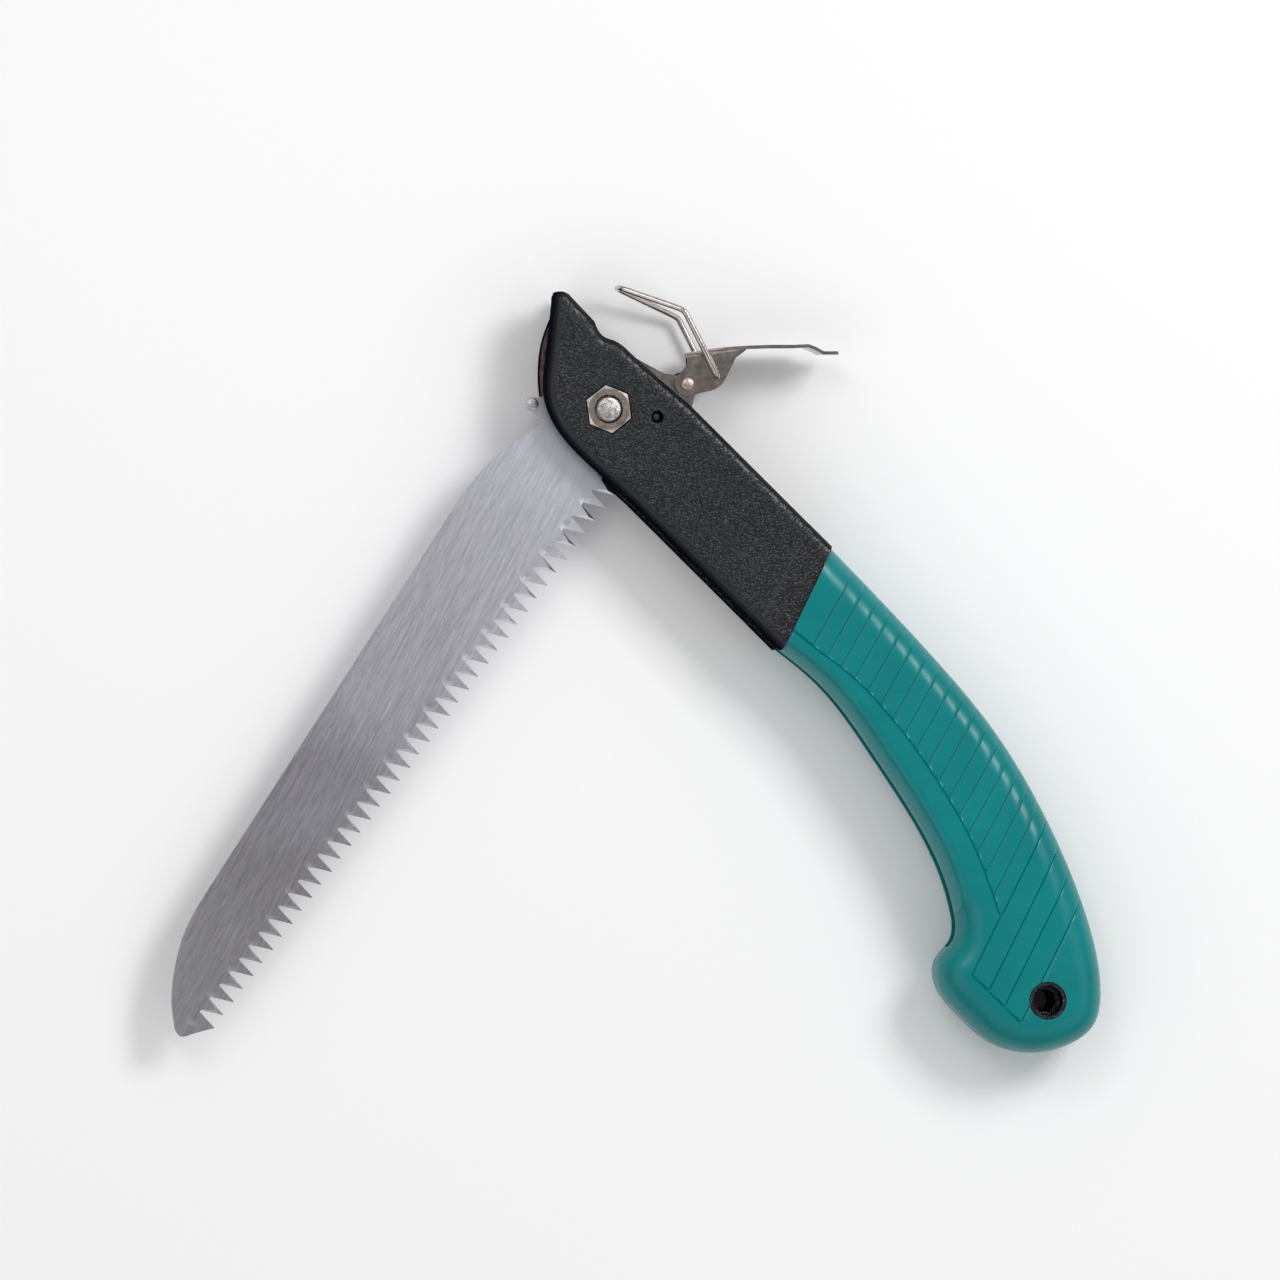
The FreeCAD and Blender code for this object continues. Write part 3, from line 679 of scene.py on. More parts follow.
# The bracket sits in the head: its legs in pockets, and the web between them in a seat.
BRACKET_POCKET = [
    (4.9, 16.0), (5.9, 3.4), (8.2, -3.6), (11.2, -5.6), (15.2, -4.5), (20.3, -0.6), (24.0, 3.0),
]
LEG_FROM, LEG_TO = 4.0, 5.4
SEAT = [(5.2, 13.4), (5.05, 12.45), (17.05, 2.25), (18.2, 2.4), (21.0, 6.0), (9.0, 17.0)]


def black_shell(name, side):
    """One handle half: the grained head, and the plain core and hanging ring inside the grip."""
    top_end = past_end(SPINE, BEYOND)
    low_end = past_end(LOWER_EDGE[::-1], BEYOND)
    spine_line = straight(HOOD_EDGE, 0.6) + spline(NOTCH, 0.3) + spline(SPINE[:3], 0.6)
    spine_line += straight([SPINE[2], top_end], 0.8)
    chin, tip = (CHIN, HOOD_TIP) if side > 0 else (FAR_CHIN, FAR_TIP)
    lower_line = straight([low_end, LOWER_EDGE[1]], 0.8) + spline(chin, 0.6) + spline(tip, 0.25)
    outline = spine_line + straight([top_end, low_end], 1.0) + lower_line
    free_edge = straight(spine_line, 0.15) + straight(lower_line, 0.15)
    inner = list(grid((-16, -62), (62, 30), 1.3))
    for offset in (-0.9, -0.45, 0.0, 0.3, 0.75):
        inner += [point + COLLAR_ACROSS * offset for point in straight(COLLAR, 0.7)]
    piece = domed(name, outline, (0.07, 0.28, 0.62, 1.1, 1.7, 2.35), free_edge, [(inner, 2.6)],
                  head_height, BLACK if side > 0 else BLACK_BROWN_SLOT, side,
                  [slab("junction", beyond_junction(True), -1, THROUGH, side)])
    core = slab("core", CORE, 0, CORE_HALF, side)
    ring = slab("ring", disc(HANG_HOLE, HANG_RING, 64), 0, GRIP_HALF - RING_BELOW, side)
    boolean(piece, [core, ring], "UNION")
    mouth, mouth_depth = HANG_MOUTH
    across, recess_depth = NUT_RECESS
    boolean(piece, [
        slab("slot", SLOT, -1, SLOT_HALF, side),
        slab("bore", disc((0, 0), PIVOT_BORE), -THROUGH, THROUGH, side),
        slab("stop", disc(STOP_PIN, STOP_BORE, 32), -THROUGH, THROUGH, side),
        slab("recess", hexagon(across), HEAD_HALF - recess_depth, THROUGH, side),
        slab("seat", SEAT, -LEG_TO, LEG_TO, side),
        slab("legs", BRACKET_POCKET, LEG_FROM, LEG_TO, side),
        slab("hang", disc(HANG_HOLE, HANG_BORE, 48), -THROUGH, THROUGH, side),
        slab("mouth", disc(HANG_HOLE, mouth, 64), GRIP_HALF - mouth_depth, THROUGH, side),
    ])
    if side < 0:
        heads = [slab("head", disc(place, SCREW_BORE, 40), 5, THROUGH, side) for place in SCREWS]
        boolean(piece, heads)
    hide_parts(name.replace("_skin", ""))
    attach(piece, "handle")


# ---- green grips

RIB_TILT = 60.0
RIB_FAN = tan(radians(3.2))
FAN_FROM, FAN_OVER = 118.0, 24.0
FAN_CENTRE = -57.7
RIB_FIRST = 70.6
RIB_PITCH = 4.24
SHORT_RIBS = 17
LONG_RIBS = [142.3, 147.6, 152.7, 158.0]
LAST_RIB = 6.0
RIB_STEP, LONG_STEP = 0.55, 0.22
RIB_GROOVE, LONG_GROOVE = 0.62, 0.5
RIB_GROOVE_HALF = 0.34
# Half width and depth.
LINE_GROOVE = (0.45, 0.5)
JOINT_GROOVE = (0.8, 0.7)
DIVIDER = [
    (40.2, -49.8), (44.6, -53.0), (49.7, -57.0), (55.5, -61.3), (62.3, -67.3), (68.3, -74.0),
    (74.2, -81.5), (79.3, -89.0), (84.4, -97.3), (88.6, -105.6), (91.9, -114.0), (94.3, -121.1),
]
PANEL_EDGE = [(94.3, -121.1), (87.5, -134.8), (99.3, -146.4)]
BUTT_EDGE = PANEL_EDGE[1:]
RIB_PLACES = [RIB_FIRST + RIB_PITCH * k for k in range(SHORT_RIBS)] + LONG_RIBS
RIB_ENDS = RIB_PLACES + [LONG_RIBS[-1] + LAST_RIB]
GRIP_CROWN = 7.5
INNER_CROWN = 3.4
GRIP_SIDE = 2.0
BACK_SHARE = 0.72
PLAIN_BAND = 3.2
BACK_BAND = 9.0

divider_line = Nearest(spline(DIVIDER, 0.15))
panel_line = Nearest(straight(PANEL_EDGE, 0.15))
grip_line = spline(GRIP_EDGE, 0.15)
back_edge = Nearest(grip_line[:round(len(grip_line) * BACK_SHARE)])
rib_across = np.array([sin(radians(RIB_TILT)), -cos(radians(RIB_TILT))])
rib_along = np.array([cos(radians(RIB_TILT)), sin(radians(RIB_TILT))])


def fan(across, along):
    """How far a rib has swung across at a place, as the ribs fan out towards the butt."""
    share = np.clip((across - FAN_FROM) / FAN_OVER, 0, 1)
    return RIB_FAN * smooth(share) * (along - FAN_CENTRE)


def rib_coordinate(points):
    """Where points lie across the ribs, with the fan of the long ones undone."""
    p = np.asarray(points, float)
    across = p @ rib_across
    return across + fan(across, p @ rib_along)


def groove(distance, half_width, depth):
    """Depth of a rounded groove at a distance from its middle."""
    return depth * smooth(np.clip(1 - np.abs(distance) / half_width, 0, 1))


def grip_height(points, depth):
    """Crowned soft face with a dividing groove, shingled short ribs and long grooves by the butt."""
    points = np.asarray(points, float)
    high = GRIP_HALF - 0.05
    back = back_edge(points)
    top = np.minimum(dome(back, GRIP_CROWN, GRIP_SIDE, high), dome(depth, INNER_CROWN, GRIP_SIDE, high))
    joint_width, joint_depth = JOINT_GROOVE
    joint = np.abs(side_of_line(points, *JUNCTION))
    top = top - joint_depth * np.clip(1 - joint / joint_width, 0, 1) ** 2
    fade = np.clip(depth / 1.2, 0.25, 1)
    spine_side = divider_line.signed(points)
    c = rib_coordinate(points)
    on_ribs = np.where(c > LONG_RIBS[0] - 0.6, 1.0, np.clip(spine_side / 0.5, 0, 1))
    on_ribs = np.where((depth < PLAIN_BAND) & (back > BACK_BAND), 0.0, on_ribs)
    shingle = np.zeros(len(points))
    for index, place in enumerate(RIB_PLACES):
        share = (c - place) / (RIB_ENDS[index + 1] - place)
        inside = (share >= 0) & (share < 1)
        step, cut = (RIB_STEP, RIB_GROOVE) if index < SHORT_RIBS else (LONG_STEP, LONG_GROOVE)
        shingle = np.where(inside, step * (1 - np.clip(share, 0, 1)) ** 1.6, shingle)
        shingle = np.maximum(shingle, groove(c - place + 0.05, RIB_GROOVE_HALF, cut))
    butt = side_of_line(points, *BUTT_EDGE) > 0
    shingle = np.where((c > LONG_RIBS[0] - 0.6) & ~butt, 0, shingle)
    shingle = np.where(c > LONG_RIBS[-1] + 0.4, 0, shingle)
    line = groove(divider_line(points), *LINE_GROOVE)
    panel = groove(panel_line(points), *LINE_GROOVE)
    return top - fade * np.maximum(np.maximum(on_ribs * shingle, line), panel)


def grip_points():
    """Inner points: rows along each rib, lines beside each groove, and a plain grid elsewhere."""
    out = []
    along = np.arange(-105, 20, 0.7)
    for place, following in zip(RIB_ENDS, RIB_ENDS[1:]):
        gap = following - place
        offsets = [-0.3, -0.16, -0.02, 0.12, 0.3] + [0.6 + (gap - 1.2) * k / 3 for k in range(4)]
        for offset in offsets:
            across = place + offset - fan(place + offset, along)
            across = place + offset - fan(across, along)
            out += list(across[:, None] * rib_across + along[:, None] * rib_along)
    out = np.array(out)
    butt = side_of_line(out, *BUTT_EDGE)
    low_part = rib_coordinate(out) > LONG_RIBS[0] - 0.5
    ribs = out[np.where(low_part, butt > 0.6, divider_line.signed(out) > 0.65)]
    plain = grid((36, -156), (124, -28), 1.05)
    side = divider_line.signed(plain)
    c = rib_coordinate(plain)
    butt = side_of_line(plain, *BUTT_EDGE)
    keep = ((c < LONG_RIBS[0] - 1) & (side < -0.9)) | ((c >= LONG_RIBS[0] - 1) & (butt < -0.9))
    keep |= c > LONG_RIBS[-1] + 6.5
    keep |= c < RIB_FIRST - 1
    plain = plain[keep & (np.abs(side) > 0.8)]
    beside = []
    for line, width in ((divider_line.line, 0.5), (panel_line.line, 0.45)):
        across = left_of(np.gradient(line, axis=0))
        for share in (-1.0, -0.5, 0.0, 0.5, 1.0):
            beside += list((line + across * width * share)[::3])
    return [(ribs, 0.9), (plain, 2.25), (np.array(beside), 2.25)]


def green_grip(name, side):
    """One half of the overmould, hollow for the core and open for the blade and the black ring."""
    start, finish = past_end(GRIP_EDGE[::-1], BEYOND), past_end(GRIP_EDGE, BEYOND)
    edge = straight([start, GRIP_EDGE[0]], 0.8) + spline(GRIP_EDGE, 0.55)
    edge += straight([GRIP_EDGE[-1], finish], 0.8)
    outline = edge + straight([finish, start], 1.0)
    tools = [
        slab("junction", beyond_junction(False), -1, THROUGH, side),
        slab("hole", disc(HANG_HOLE, HANG_RING, 64), -1, THROUGH, side),
        slab("core", CORE, -1, CORE_HALF, side),
        slab("slot", SLOT, -1, SLOT_HALF, side),
    ]
    if side < 0:
        tools += [slab("screw", disc(place, SCREW_BORE, 40), -1, THROUGH, side) for place in SCREWS[1:]]
    piece = domed(name, outline, (0.06, 0.22, 0.5, 0.9, 1.4, 2.0), straight(edge, 0.15), grip_points(),
                  grip_height, GREEN, side, tools, sharp=38)
    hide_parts(name.replace("_skin", ""))
    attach(piece, "handle")


# ---- blade

def edge_point(point, near=None, far=None, near_drop=EDGE_BREAK, far_drop=EDGE_BREAK, bend=0.0):
    """A point of the blade's edge, with each face's step in from it and drop, and the tooth set."""
    return tuple(point), near, far, near_drop, far_drop, bend


def add_tooth(edge, number):
    """One tooth: steep flank, small tip and sloping flank, ground on one face and set to the other.

    Returns which points of the edge bound the tooth.
    """
    tip = FIRST_TIP + TOOTH_PITCH * number
    floor = TOOTH_LINE - TOOTH_DEPTH
    ground_near = number % 2 == 0
    bend = -TOOTH_SET if ground_near else TOOTH_SET
    drop = 2 * HALF_SHEET - LAND

    def put(x, y, step, share, lean):
        extra = {"near": step, "near_drop": lean} if ground_near else {"far": step, "far_drop": lean}
        edge.append(edge_point((x, y), bend=bend * share, **extra))
        return len(edge) - 1

    steep = (tip - TIP_LEAN, floor + 0.2)
    slope = (tip + TOOTH_PITCH - TIP_LEAN - 2 * GULLET_RADIUS, floor + 0.35)
    if number == TEETH - 1:
        slope = NOSE_CORNER
    middle = ((tip + TIP_FLAT + slope[0]) / 2, (TOOTH_LINE + slope[1]) / 2 - 0.075)
    loop = [
        put(*steep, (0.28, 0.0), 0.0, drop * 0.6),
        put(tip - TIP_LEAN * 0.5, floor + 2.6, (0.6, -0.2), 0.4, drop),
        put(tip, TOOTH_LINE, (0.42, -2.0), 1.0, drop),
        put(tip + TIP_FLAT, TOOTH_LINE, (0.24, -2.0), 1.0, drop),
        put(*middle, (-0.55, -0.3), 0.4, drop),
        put(*slope, (-0.3, 0.0), 0.0, drop * 0.6),
    ]
    if number < TEETH - 1:
        gullet = [(0.12, 0.04), (GULLET_RADIUS, -0.12), (2 * GULLET_RADIUS - 0.1, 0.0)]
        edge += [edge_point((slope[0] + x, floor + y)) for x, y in gullet]
    return loop


def saw_blade():
    """The blade as one closed mesh, with each tooth's faces apart from the plate's."""
    edge = []
    teeth = [add_tooth(edge, number) for number in range(TEETH)]
    outline = spline([NOSE_CORNER, (180.1, 9.5), NOSE[-1]], 0.4)[1:] + spline(NOSE[::-1], 1.0)
    outline += straight([NOSE[0], BACK_CURVE[-1]], 4.0) + spline(BACK_CURVE[::-1], 0.8) + [BACK_CURVE[0]]
    for centre, radius, first, last, run in (
        (KEEPER, EAR_RADIUS, 385, 205, 0.3),
        ((0, 0), SHOULDER_RADIUS, 292, OPEN_SHOULDER, 0.8),
        ((0, 0), TANG_RADIUS, OPEN_SHOULDER, FOLD_SHOULDER, 0.8),
    ):
        outline += arc(centre, radius, first, last, run) + [polar(radius, last, centre)]
    edge += [edge_point(point) for point in outline + HEEL]
    points, near, far, near_drop, far_drop, bend = zip(*edge)
    points, bend = np.array(points), np.array(bend)
    inward = inward_normals(points)
    if double_area(points) < 0:
        inward = -inward

    def step(values):
        given = zip(values, inward)
        return np.array([value if value else tuple(normal * EDGE_BREAK) for value, normal in given])

    vertices = np.vstack([
        np.column_stack([points + step(near), bend + HALF_SHEET]),
        np.column_stack([points, bend + HALF_SHEET - np.array(near_drop)]),
        np.column_stack([points, bend - HALF_SHEET + np.array(far_drop)]),
        np.column_stack([points + step(far), bend - HALF_SHEET]),
    ])
    n = len(points)
    faces = []
    for ring in range(3):
        faces += ring_walls(ring * n, (ring + 1) * n, n)
    in_tooth = {i for tooth in teeth for i in tooth[1:-1]}
    plate = [i for i in range(n) if i not in in_tooth]
    for start, flip in ((0, False), (3 * n, True)):
        flat = vertices[start:start + n, :2]
        for loop in [plate] + teeth:
            order = loop if double_area(flat[loop]) > 0 else loop[::-1]
            _, triangles = fill(flat[order])
            for triangle in triangles:
                face = [start + order[i] for i in triangle]
                faces.append(tuple(reversed(face)) if flip else tuple(face))
    vertices[:, :2] = turned(vertices[:, :2], BLADE_ANGLE)
    piece = build("saw_blade_ground", vertices, faces, BLADE, sharp=14)
    boolean(piece, [prism("bore", disc((0, 0), BLADE_BORE, 64), -5, 5)], sharp=14)
    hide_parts("saw_blade")
    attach(piece, "blade")


# ---- pivot, pins and screws

NUT_ACROSS = 11.5
HEX_CHAMFER = 0.75
TURNING_RADIUS = 6.4
NUT_LOW, NUT_HIGH = HEAD_HALF - NUT_RECESS[1], HEAD_HALF - 0.15
SHANK_RADIUS, THREAD_ROOT = 2.95, 2.62
THREAD_FROM, THREAD_PITCH = 4.0, 1.0
# The tiny radius at which a turned profile starts and ends.
AXIS = 1e-4


def dress(piece, material):
    """Gives a piece one material in place of those that it has."""
    piece.data.materials.clear()
    piece.data.materials.append(material)


def hex_solid(name, low, high, material, chamfer_low, chamfer_high):
    """A hexagon with turned corners at the ends that show."""
    body = prism(name, hexagon(NUT_ACROSS), low, high)
    flat = NUT_ACROSS / 2 * cos(radians(30)) - 0.1
    wide = TURNING_RADIUS
    low_end = [(flat, low - 0.01), (wide, low + HEX_CHAMFER)] if chamfer_low else [(wide, low - 0.01)]
    high_end = [(wide, high - HEX_CHAMFER), (flat, high + 0.01)] if chamfer_high else [(wide, high + 0.01)]
    profile = [(AXIS, low - 0.01)] + low_end + high_end + [(AXIS, high + 0.01)]
    boolean(body, [lathe("turning", (0, 0), profile, None, 72)], "INTERSECT", 12)
    dress(body, material)
    return body


def pivot_nut():
    """The sunk nut, with a turned funnel around the end of the bolt."""
    low, high = NUT_LOW, NUT_HIGH
    nut = hex_solid("pivot_nut_turned", low, high, NICKEL, False, True)
    funnel = [(AXIS, low - 1), (3.0, low - 1), (3.0, high - 0.9), (3.45, high - 0.45), (3.45, high - 0.2)]
    funnel += [(3.8, high - 0.2), (4.2, high + 0.2), (4.2, high + 0.3), (AXIS, high + 0.3)]
    boolean(nut, [lathe("funnel", (0, 0), funnel, None, 64)], sharp=20)
    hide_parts("pivot_nut")
    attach(nut, "handle")


def pivot_bolt():
    """The bolt, with its head in the far shell and its threaded end in the nut."""
    low, high = -NUT_HIGH, -NUT_LOW
    head = hex_solid("pivot_bolt_turned", low, high, BOLT_END, True, False)
    end = HEAD_HALF + 0.1
    profile = [(AXIS, low + 1), (SHANK_RADIUS, low + 1)]
    thread = THREAD_FROM
    while thread < end - 1.2:
        profile += [(SHANK_RADIUS, thread), (THREAD_ROOT, thread + THREAD_PITCH / 2)]
        thread += THREAD_PITCH
    profile += [(SHANK_RADIUS, end - 0.75), (SHANK_RADIUS, end - 0.45), (THREAD_ROOT, end - 0.1)]
    profile += [(2.2, end), (AXIS, end)]
    boolean(head, [lathe("shank", (0, 0), profile, BOLT_END, 64)], "UNION", 24)
    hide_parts("pivot_bolt")
    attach(head, "handle")


def pin(name, node, body, centre, radius, half, material, end):
    """A cross pin whose ends are rounded over a given length."""
    side = [(radius, half - end), (radius - 0.3 * end, half - 0.3 * end)]
    side += [(radius - end, half), (AXIS, half)]
    profile = [(r, -z) for r, z in reversed(side)] + side
    piece = lathe(name, centre, profile, material, 40, 40)
    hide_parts(node)
    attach(piece, body)


def lever_rivet():
    """Peened rivet with low domed heads outside the lever's cheeks."""
    face, top, head, shank = 6.15, 6.7, 1.55, 1.2
    side = [(shank, face - 0.01), (head, face), (head, face + 0.15), (1.25, face + 0.38)]
    side += [(0.8, top - 0.04), (AXIS, top)]
    profile = [(r, -z) for r, z in reversed(side)] + side
    piece = lathe("lever_rivet_peened", RIVET_AT, profile, RIVET, 40, 40)
    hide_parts("lever_rivet")
    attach(piece, "handle")


SCREW_PROFILE = [
    (AXIS, -6.8), (1.9, -6.7), (2.6, -6.35), (2.9, -5.8), (2.9, -5.0), (1.45, -5.0), (1.45, 5.4),
    (AXIS, 5.5),
]
CROSS_LONG, CROSS_WIDE = 1.5, 0.3
CROSS_FLOOR = -5.7


def cross_arm(centre, half_x, half_y):
    """One arm of the cross recess in a screw's head."""
    corners = [(-half_x, -half_y), (half_x, -half_y), (half_x, half_y), (-half_x, half_y)]
    return prism("arm", [(centre[0] + x, centre[1] + y) for x, y in corners], -8, CROSS_FLOOR)


def shell_screws():
    """The three cross-recessed screws."""
    pieces = []
    for place in SCREWS:
        screw = lathe("screw", place, SCREW_PROFILE, SCREW, 40, 34)
        arms = [cross_arm(place, CROSS_LONG, CROSS_WIDE), cross_arm(place, CROSS_WIDE, CROSS_LONG)]
        pieces.append(boolean(screw, arms, sharp=34))
    for number, piece in enumerate(pieces):
        piece.name = f"shell_screw_{number + 1}"
        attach(piece, "handle")
    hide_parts("shell_screws")


# ---- latch

BAIL_AT = (26.5, 7.7)
WIRE_RADIUS = 0.72
BAIL_ROUTE = [
    (*BAIL_AT, 5.5), (*BAIL_AT, 7.6), (18.4, 23.6, 7.6), (3.75, 28.9, 3.1), (3.75, 28.9, -3.1),
    (19.3, 21.9, -7.6), (*BAIL_AT, -7.6), (*BAIL_AT, -5.5),
]
BAIL_BENDS = [1.2, 3.0, 1.6, 1.6, 3.0, 1.2]


def rounded_route(points, radii, steps=8):
    """Straight runs with a round bend at each inner point."""
    points = [np.array(p, float) for p in points]
    out = [points[0]]
    for before, corner, after, radius in zip(points, points[1:], points[2:], radii):
        back, ahead = unit(before - corner), unit(after - corner)
        half = np.arccos(np.clip(back @ ahead, -1, 1)) / 2
        reach = radius / np.tan(half)
        centre = corner + unit(back + ahead) * radius / np.sin(half)
        first, last = corner + back * reach, corner + ahead * reach
        a, b = first - centre, last - centre
        sweep = pi - 2 * half
        for k in range(steps + 1):
            share = k / steps
            swung = np.sin((1 - share) * sweep) * a + np.sin(share * sweep) * b
            out.append(centre + swung / np.sin(sweep))
    out.append(points[-1])
    return out


def tube(name, route, radius, material, count=20):
    """A round wire along a route, with softly broken ends."""
    route = [np.array(p, float) for p in route]
    side = unit(np.cross(route[1] - route[0], (0.3, 0.9, 0.1)))
    vertices = []
    rings = []
    stations = [(0, 0.75, 0.0), (0, 1.0, 0.12)] + [(i, 1.0, 0.0) for i in range(1, len(route) - 1)]
    stations += [(len(route) - 1, 1.0, -0.12), (len(route) - 1, 0.75, 0.0)]
    for index, size, shift in stations:
        before = route[max(index - 1, 0)]
        after = route[min(index + 1, len(route) - 1)]
        way = unit(after - before)
        side = unit(side - way * (side @ way))
        other = np.cross(way, side)
        centre = route[index] + way * shift
        rings.append(len(vertices))
        for k in range(count):
            angle = 2 * pi * k / count
            vertices.append(centre + radius * size * (side * cos(angle) + other * sin(angle)))
    faces = []
    for first, second in zip(rings, rings[1:]):
        faces += ring_walls(first, second, count)
    faces += [tuple(reversed(range(count))), tuple(range(len(vertices) - count, len(vertices)))]
    return build(name, vertices, faces, material, 60)


def latch_bail():
    piece = tube("latch_bail_wire", rounded_route(BAIL_ROUTE, BAIL_BENDS), WIRE_RADIUS, WIRE)
    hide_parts("latch_bail")
    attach(piece, "bail")


LEVER_TOP = [(33.6, 15.2), (28.4, 14.8), (22.9, 14.0), (18.7, 13.4)]
LEVER_CHEEK = [
    (18.7, 13.4), (19.3, 12.0), (18.7, 9.9), (16.7, 7.6), (16.3, 5.7), (17.4, 4.0), (19.7, 3.2),
    (21.4, 3.6), (27.4, 5.7), (28.5, 7.2), (30.0, 10.2), (31.2, 12.6),
]
LEVER_HEEL = (33.6, 14.2)
LEVER_ROOM = [0.75, 9.0, 9.0, 1.2]
CHEEK_BACK = 2.0
CHANNEL_TOP = [(36.0, 14.0), (33.6, 14.4), (28.4, 14.0), (22.9, 13.2), (18.7, 12.6), (12.0, 11.7)]
CHANNEL_FLOOR = [(12.0, -2.0), (36.0, -2.0)]
DEEP = 9.0
LEVER_HALF = 6.1
LEVER_SHEET = 0.8
LEVER_BEND = 1.4
TAB_HALF = 5.5
TAB_TOP = [
    (28.4, 14.8), (34.0, 15.2), (39.8, 15.4), (45.3, 15.4), (48.7, 15.6), (50.6, 14.9),
    (52.4, 13.9), (55.9, 13.9),
]


def rolled(name, top, room, rest, back, half, bend):
    """A solid across z with its top line rounded over at both sides.

    room is how far each point of the top line may sink in the round; the rest of the outline stays
    below it. back is how far each point sits back on the far side.
    """
    top = np.array(top, float)
    rest = np.array(rest, float)
    n = len(top) + len(rest)
    angles = [radians(angle) for angle in range(90, -1, -15)]
    turns = [(-half + bend - bend * sin(angle), bend - bend * cos(angle)) for angle in angles]
    levels = turns + [(-z, sink) for z, sink in reversed(turns)]
    vertices = []
    faces = []
    for number, (z, sink) in enumerate(levels):
        lowered = top[:, 1] - np.minimum(sink, room)
        ceiling = np.interp(rest[:, 0], top[::-1, 0], lowered[::-1]) - 0.02
        ceiling[rest[:, 0] > top[0, 0] - 0.01] = 99.0
        ring = np.vstack([np.column_stack([top[:, 0], lowered]),
                          np.column_stack([rest[:, 0], np.minimum(rest[:, 1], ceiling)])])
        ring[:, 0] += np.array(back) * (half - z) / (2 * half)
        vertices += [(x, y, z) for x, y in ring]
        if number:
            faces += ring_walls((number - 1) * n, number * n, n)
    last = len(vertices) - n
    faces += [tuple(reversed(range(n))), tuple(range(last, last + n))]
    return build(name, vertices, faces)


def latch_lever():
    """The pressed lever: two cheeks folded down from the top, running out into a flat tab."""
    rest = [tuple(p) for p in spline(LEVER_CHEEK, 0.4)[1:]] + [LEVER_HEEL]
    back = []
    for x, y in LEVER_TOP + rest:
        towards_front = min(max((20.5 - x) / 1.5, 0), 1)
        towards_top = min(max((y - 5) / 4, 0.5), 1)
        back.append(CHEEK_BACK * towards_front * towards_top)
    piece = rolled("latch_lever_pressed", LEVER_TOP, LEVER_ROOM, rest, back, LEVER_HALF, LEVER_BEND)
    room = [DEEP] * len(CHANNEL_TOP)
    straight_back = [0.0] * len(CHANNEL_TOP + CHANNEL_FLOOR)
    channel = rolled("channel", CHANNEL_TOP, room, CHANNEL_FLOOR, straight_back,
                     LEVER_HALF - LEVER_SHEET, LEVER_BEND - LEVER_SHEET)
    boolean(piece, [channel], sharp=40)
    strip = list(TAB_TOP) + list(inset(TAB_TOP, LEVER_SHEET)[::-1])
    boolean(piece, [prism("tab", strip, -TAB_HALF, TAB_HALF)], "UNION", 40)
    holes = [prism("hole", disc(RIVET_AT, 1.3, 40), -9, 9), prism("hole", disc(BAIL_AT, 0.85, 32), -9, 9)]
    boolean(piece, holes, sharp=40)
    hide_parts("latch_lever")
    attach(piece, "lever")
    break_edges(piece, LATCH, 0.1)


def break_edges(piece, material, width):
    """Sets a finish and breaks the sharp edges of a part."""
    dress(piece, material)
    weld = piece.modifiers.new("weld", "WELD")
    weld.merge_threshold = 1e-6
    bevel = piece.modifiers.new("bevel", "BEVEL")
    bevel.width = width * MM
    bevel.segments = 2
    bevel.limit_method = "ANGLE"
    bevel.angle_limit = radians(40)
    bevel.harden_normals = True


black_shell("shell_near_skin", 1)
black_shell("shell_far_skin", -1)
green_grip("grip_near_skin", 1)
green_grip("grip_far_skin", -1)
saw_blade()
pivot_nut()
pivot_bolt()
pin("stop_pin_round", "stop_pin", "handle", STOP_PIN, 1.28, 7.9, SCREW, 0.9)
keeper_at = turned([KEEPER], BLADE_ANGLE)[0]
pin("keeper_pin_round", "keeper_pin", "blade", keeper_at, 1.34, 2.1, BOLT_END, 0.35)
lever_rivet()
shell_screws()
latch_bail()
latch_lever()
for node, finish, edge_width in (
    ("latch_bracket", LATCH, 0.28),
    ("pivot_bush", BOLT_END, 0.1),
    ("spacer_washer_near", NYLON, 0.15),
    ("spacer_washer_far", NYLON, 0.15),
):
    break_edges(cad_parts[node], finish, edge_width)


# ---- floor, light and camera

FLOOR_HALF = 3.0


def studio_floor():
    mesh = bpy.data.meshes.new("floor")
    corners = [(x * FLOOR_HALF, y * FLOOR_HALF, FLOOR_Z) for x, y in ((-1, -1), (1, -1), (1, 1), (-1, 1))]
    mesh.from_pydata(corners, [], [(0, 1, 2, 3)])
    floor = bpy.data.objects.new("floor", mesh)
    bpy.context.scene.collection.objects.link(floor)
    n = Nodes("floor")
    cloud = n.noise(n.place(), 0.002, 2.0)
    tone = n.ramp(cloud, [(0.3, (0.93, 0.93, 0.935)), (0.7, (0.95, 0.95, 0.955))])
    mesh.materials.append(n.set(Base_Color=tone, Roughness=0.9, Specular_IOR_Level=0.1))


def area_light(name, at, aim, size, power):
    """A rectangle of light at a place in metres, turned towards its aim."""
    data = bpy.data.lights.new(name, "AREA")
    data.shape = "RECTANGLE"
    data.size, data.size_y = size
    data.energy = power
    light = bpy.data.objects.new(name, data)
    light.location = at
    light.rotation_euler = (Vector(aim) - Vector(at)).to_track_quat("-Z", "Y").to_euler()
    bpy.context.scene.collection.objects.link(light)


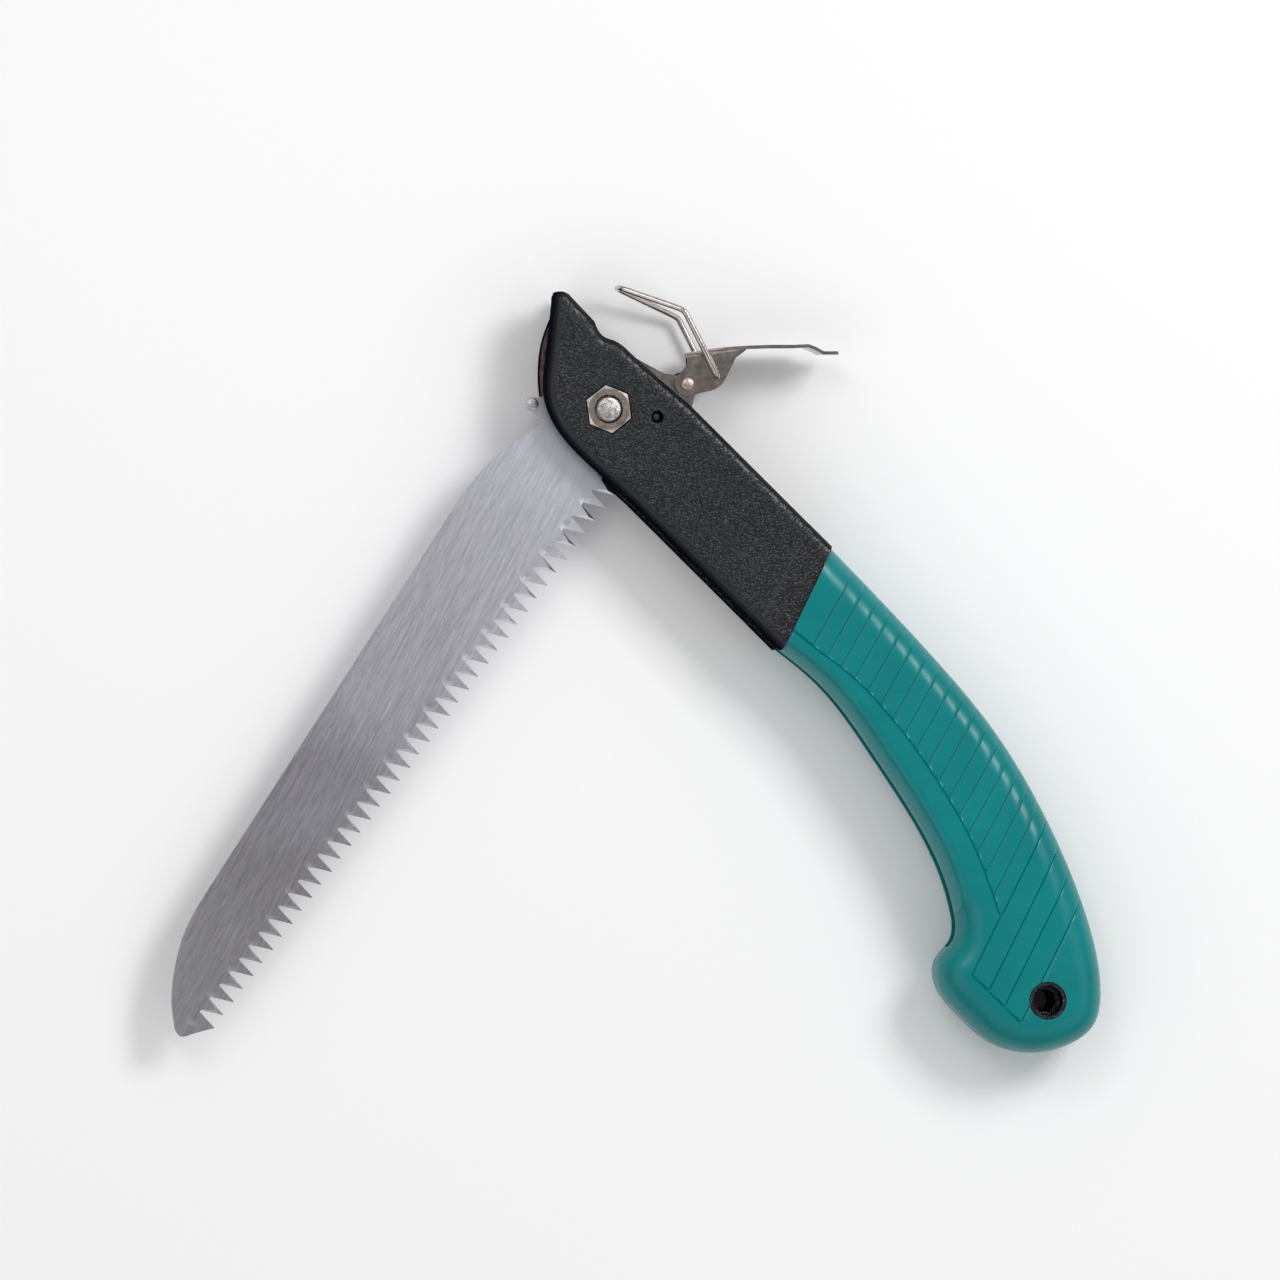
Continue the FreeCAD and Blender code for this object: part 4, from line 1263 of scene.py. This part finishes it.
# The camera's view, in metres and degrees.
VIEW_WIDTH = 0.3048
VIEW_TILT = 9.0
VIEW_DISTANCE = 6.0
VIEW_RIGHT = 0.0088
VIEW_DOWN = 0.0549


def camera():
    """Nearly straight down on the saw, tilted a little towards the blade's side."""
    data = bpy.data.cameras.new("camera")
    data.lens = data.sensor_width * VIEW_DISTANCE / VIEW_WIDTH
    data.clip_end = 40
    tilt = radians(VIEW_TILT)
    right = Vector((cos(tilt), 0, sin(tilt)))
    towards = Vector((-sin(tilt), 0, cos(tilt)))
    aim = PIVOT + right * VIEW_RIGHT + Vector((0, -VIEW_DOWN, 0))
    piece = bpy.data.objects.new("camera", data)
    piece.location = aim + towards * VIEW_DISTANCE
    piece.rotation_euler = (0, -tilt, 0)
    bpy.context.scene.collection.objects.link(piece)
    bpy.context.scene.camera = piece


SKY = [(0.05, (0.08, 0.08, 0.09)), (0.55, 1.0), (0.82, 1.0), (0.94, 0.42)]
SKY_STRENGTH = 0.78


def lights():
    """A pale sky, dark at the horizon and dimmer overhead, and three soft lights."""
    world = bpy.data.worlds.new("studio")
    world.use_nodes = True
    tree = world.node_tree
    height = tree.nodes.new("ShaderNodeSeparateXYZ")
    tree.links.new(tree.nodes.new("ShaderNodeTexCoord").outputs["Generated"], height.inputs["Vector"])
    sky = tree.nodes.new("ShaderNodeValToRGB")
    tree.links.new(height.outputs["Z"], sky.inputs["Fac"])
    set_stops(sky.color_ramp, SKY)
    tree.links.new(sky.outputs["Color"], tree.nodes["Background"].inputs["Color"])
    tree.nodes["Background"].inputs["Strength"].default_value = SKY_STRENGTH
    bpy.context.scene.world = world
    bpy.context.scene.view_settings.view_transform = "Standard"
    area_light("key", (0.62, 0.72, 0.95), (-0.05, 0.05, 0), (0.5, 0.4), 7.5)
    area_light("top", (-0.55, 0.75, 1.2), (-0.05, 0.05, 0), (0.5, 0.5), 2.4)
    area_light("fill", (-0.95, -0.3, 0.7), (-0.08, 0.05, 0), (0.8, 0.8), 0.8)


studio_floor()
lights()
camera()
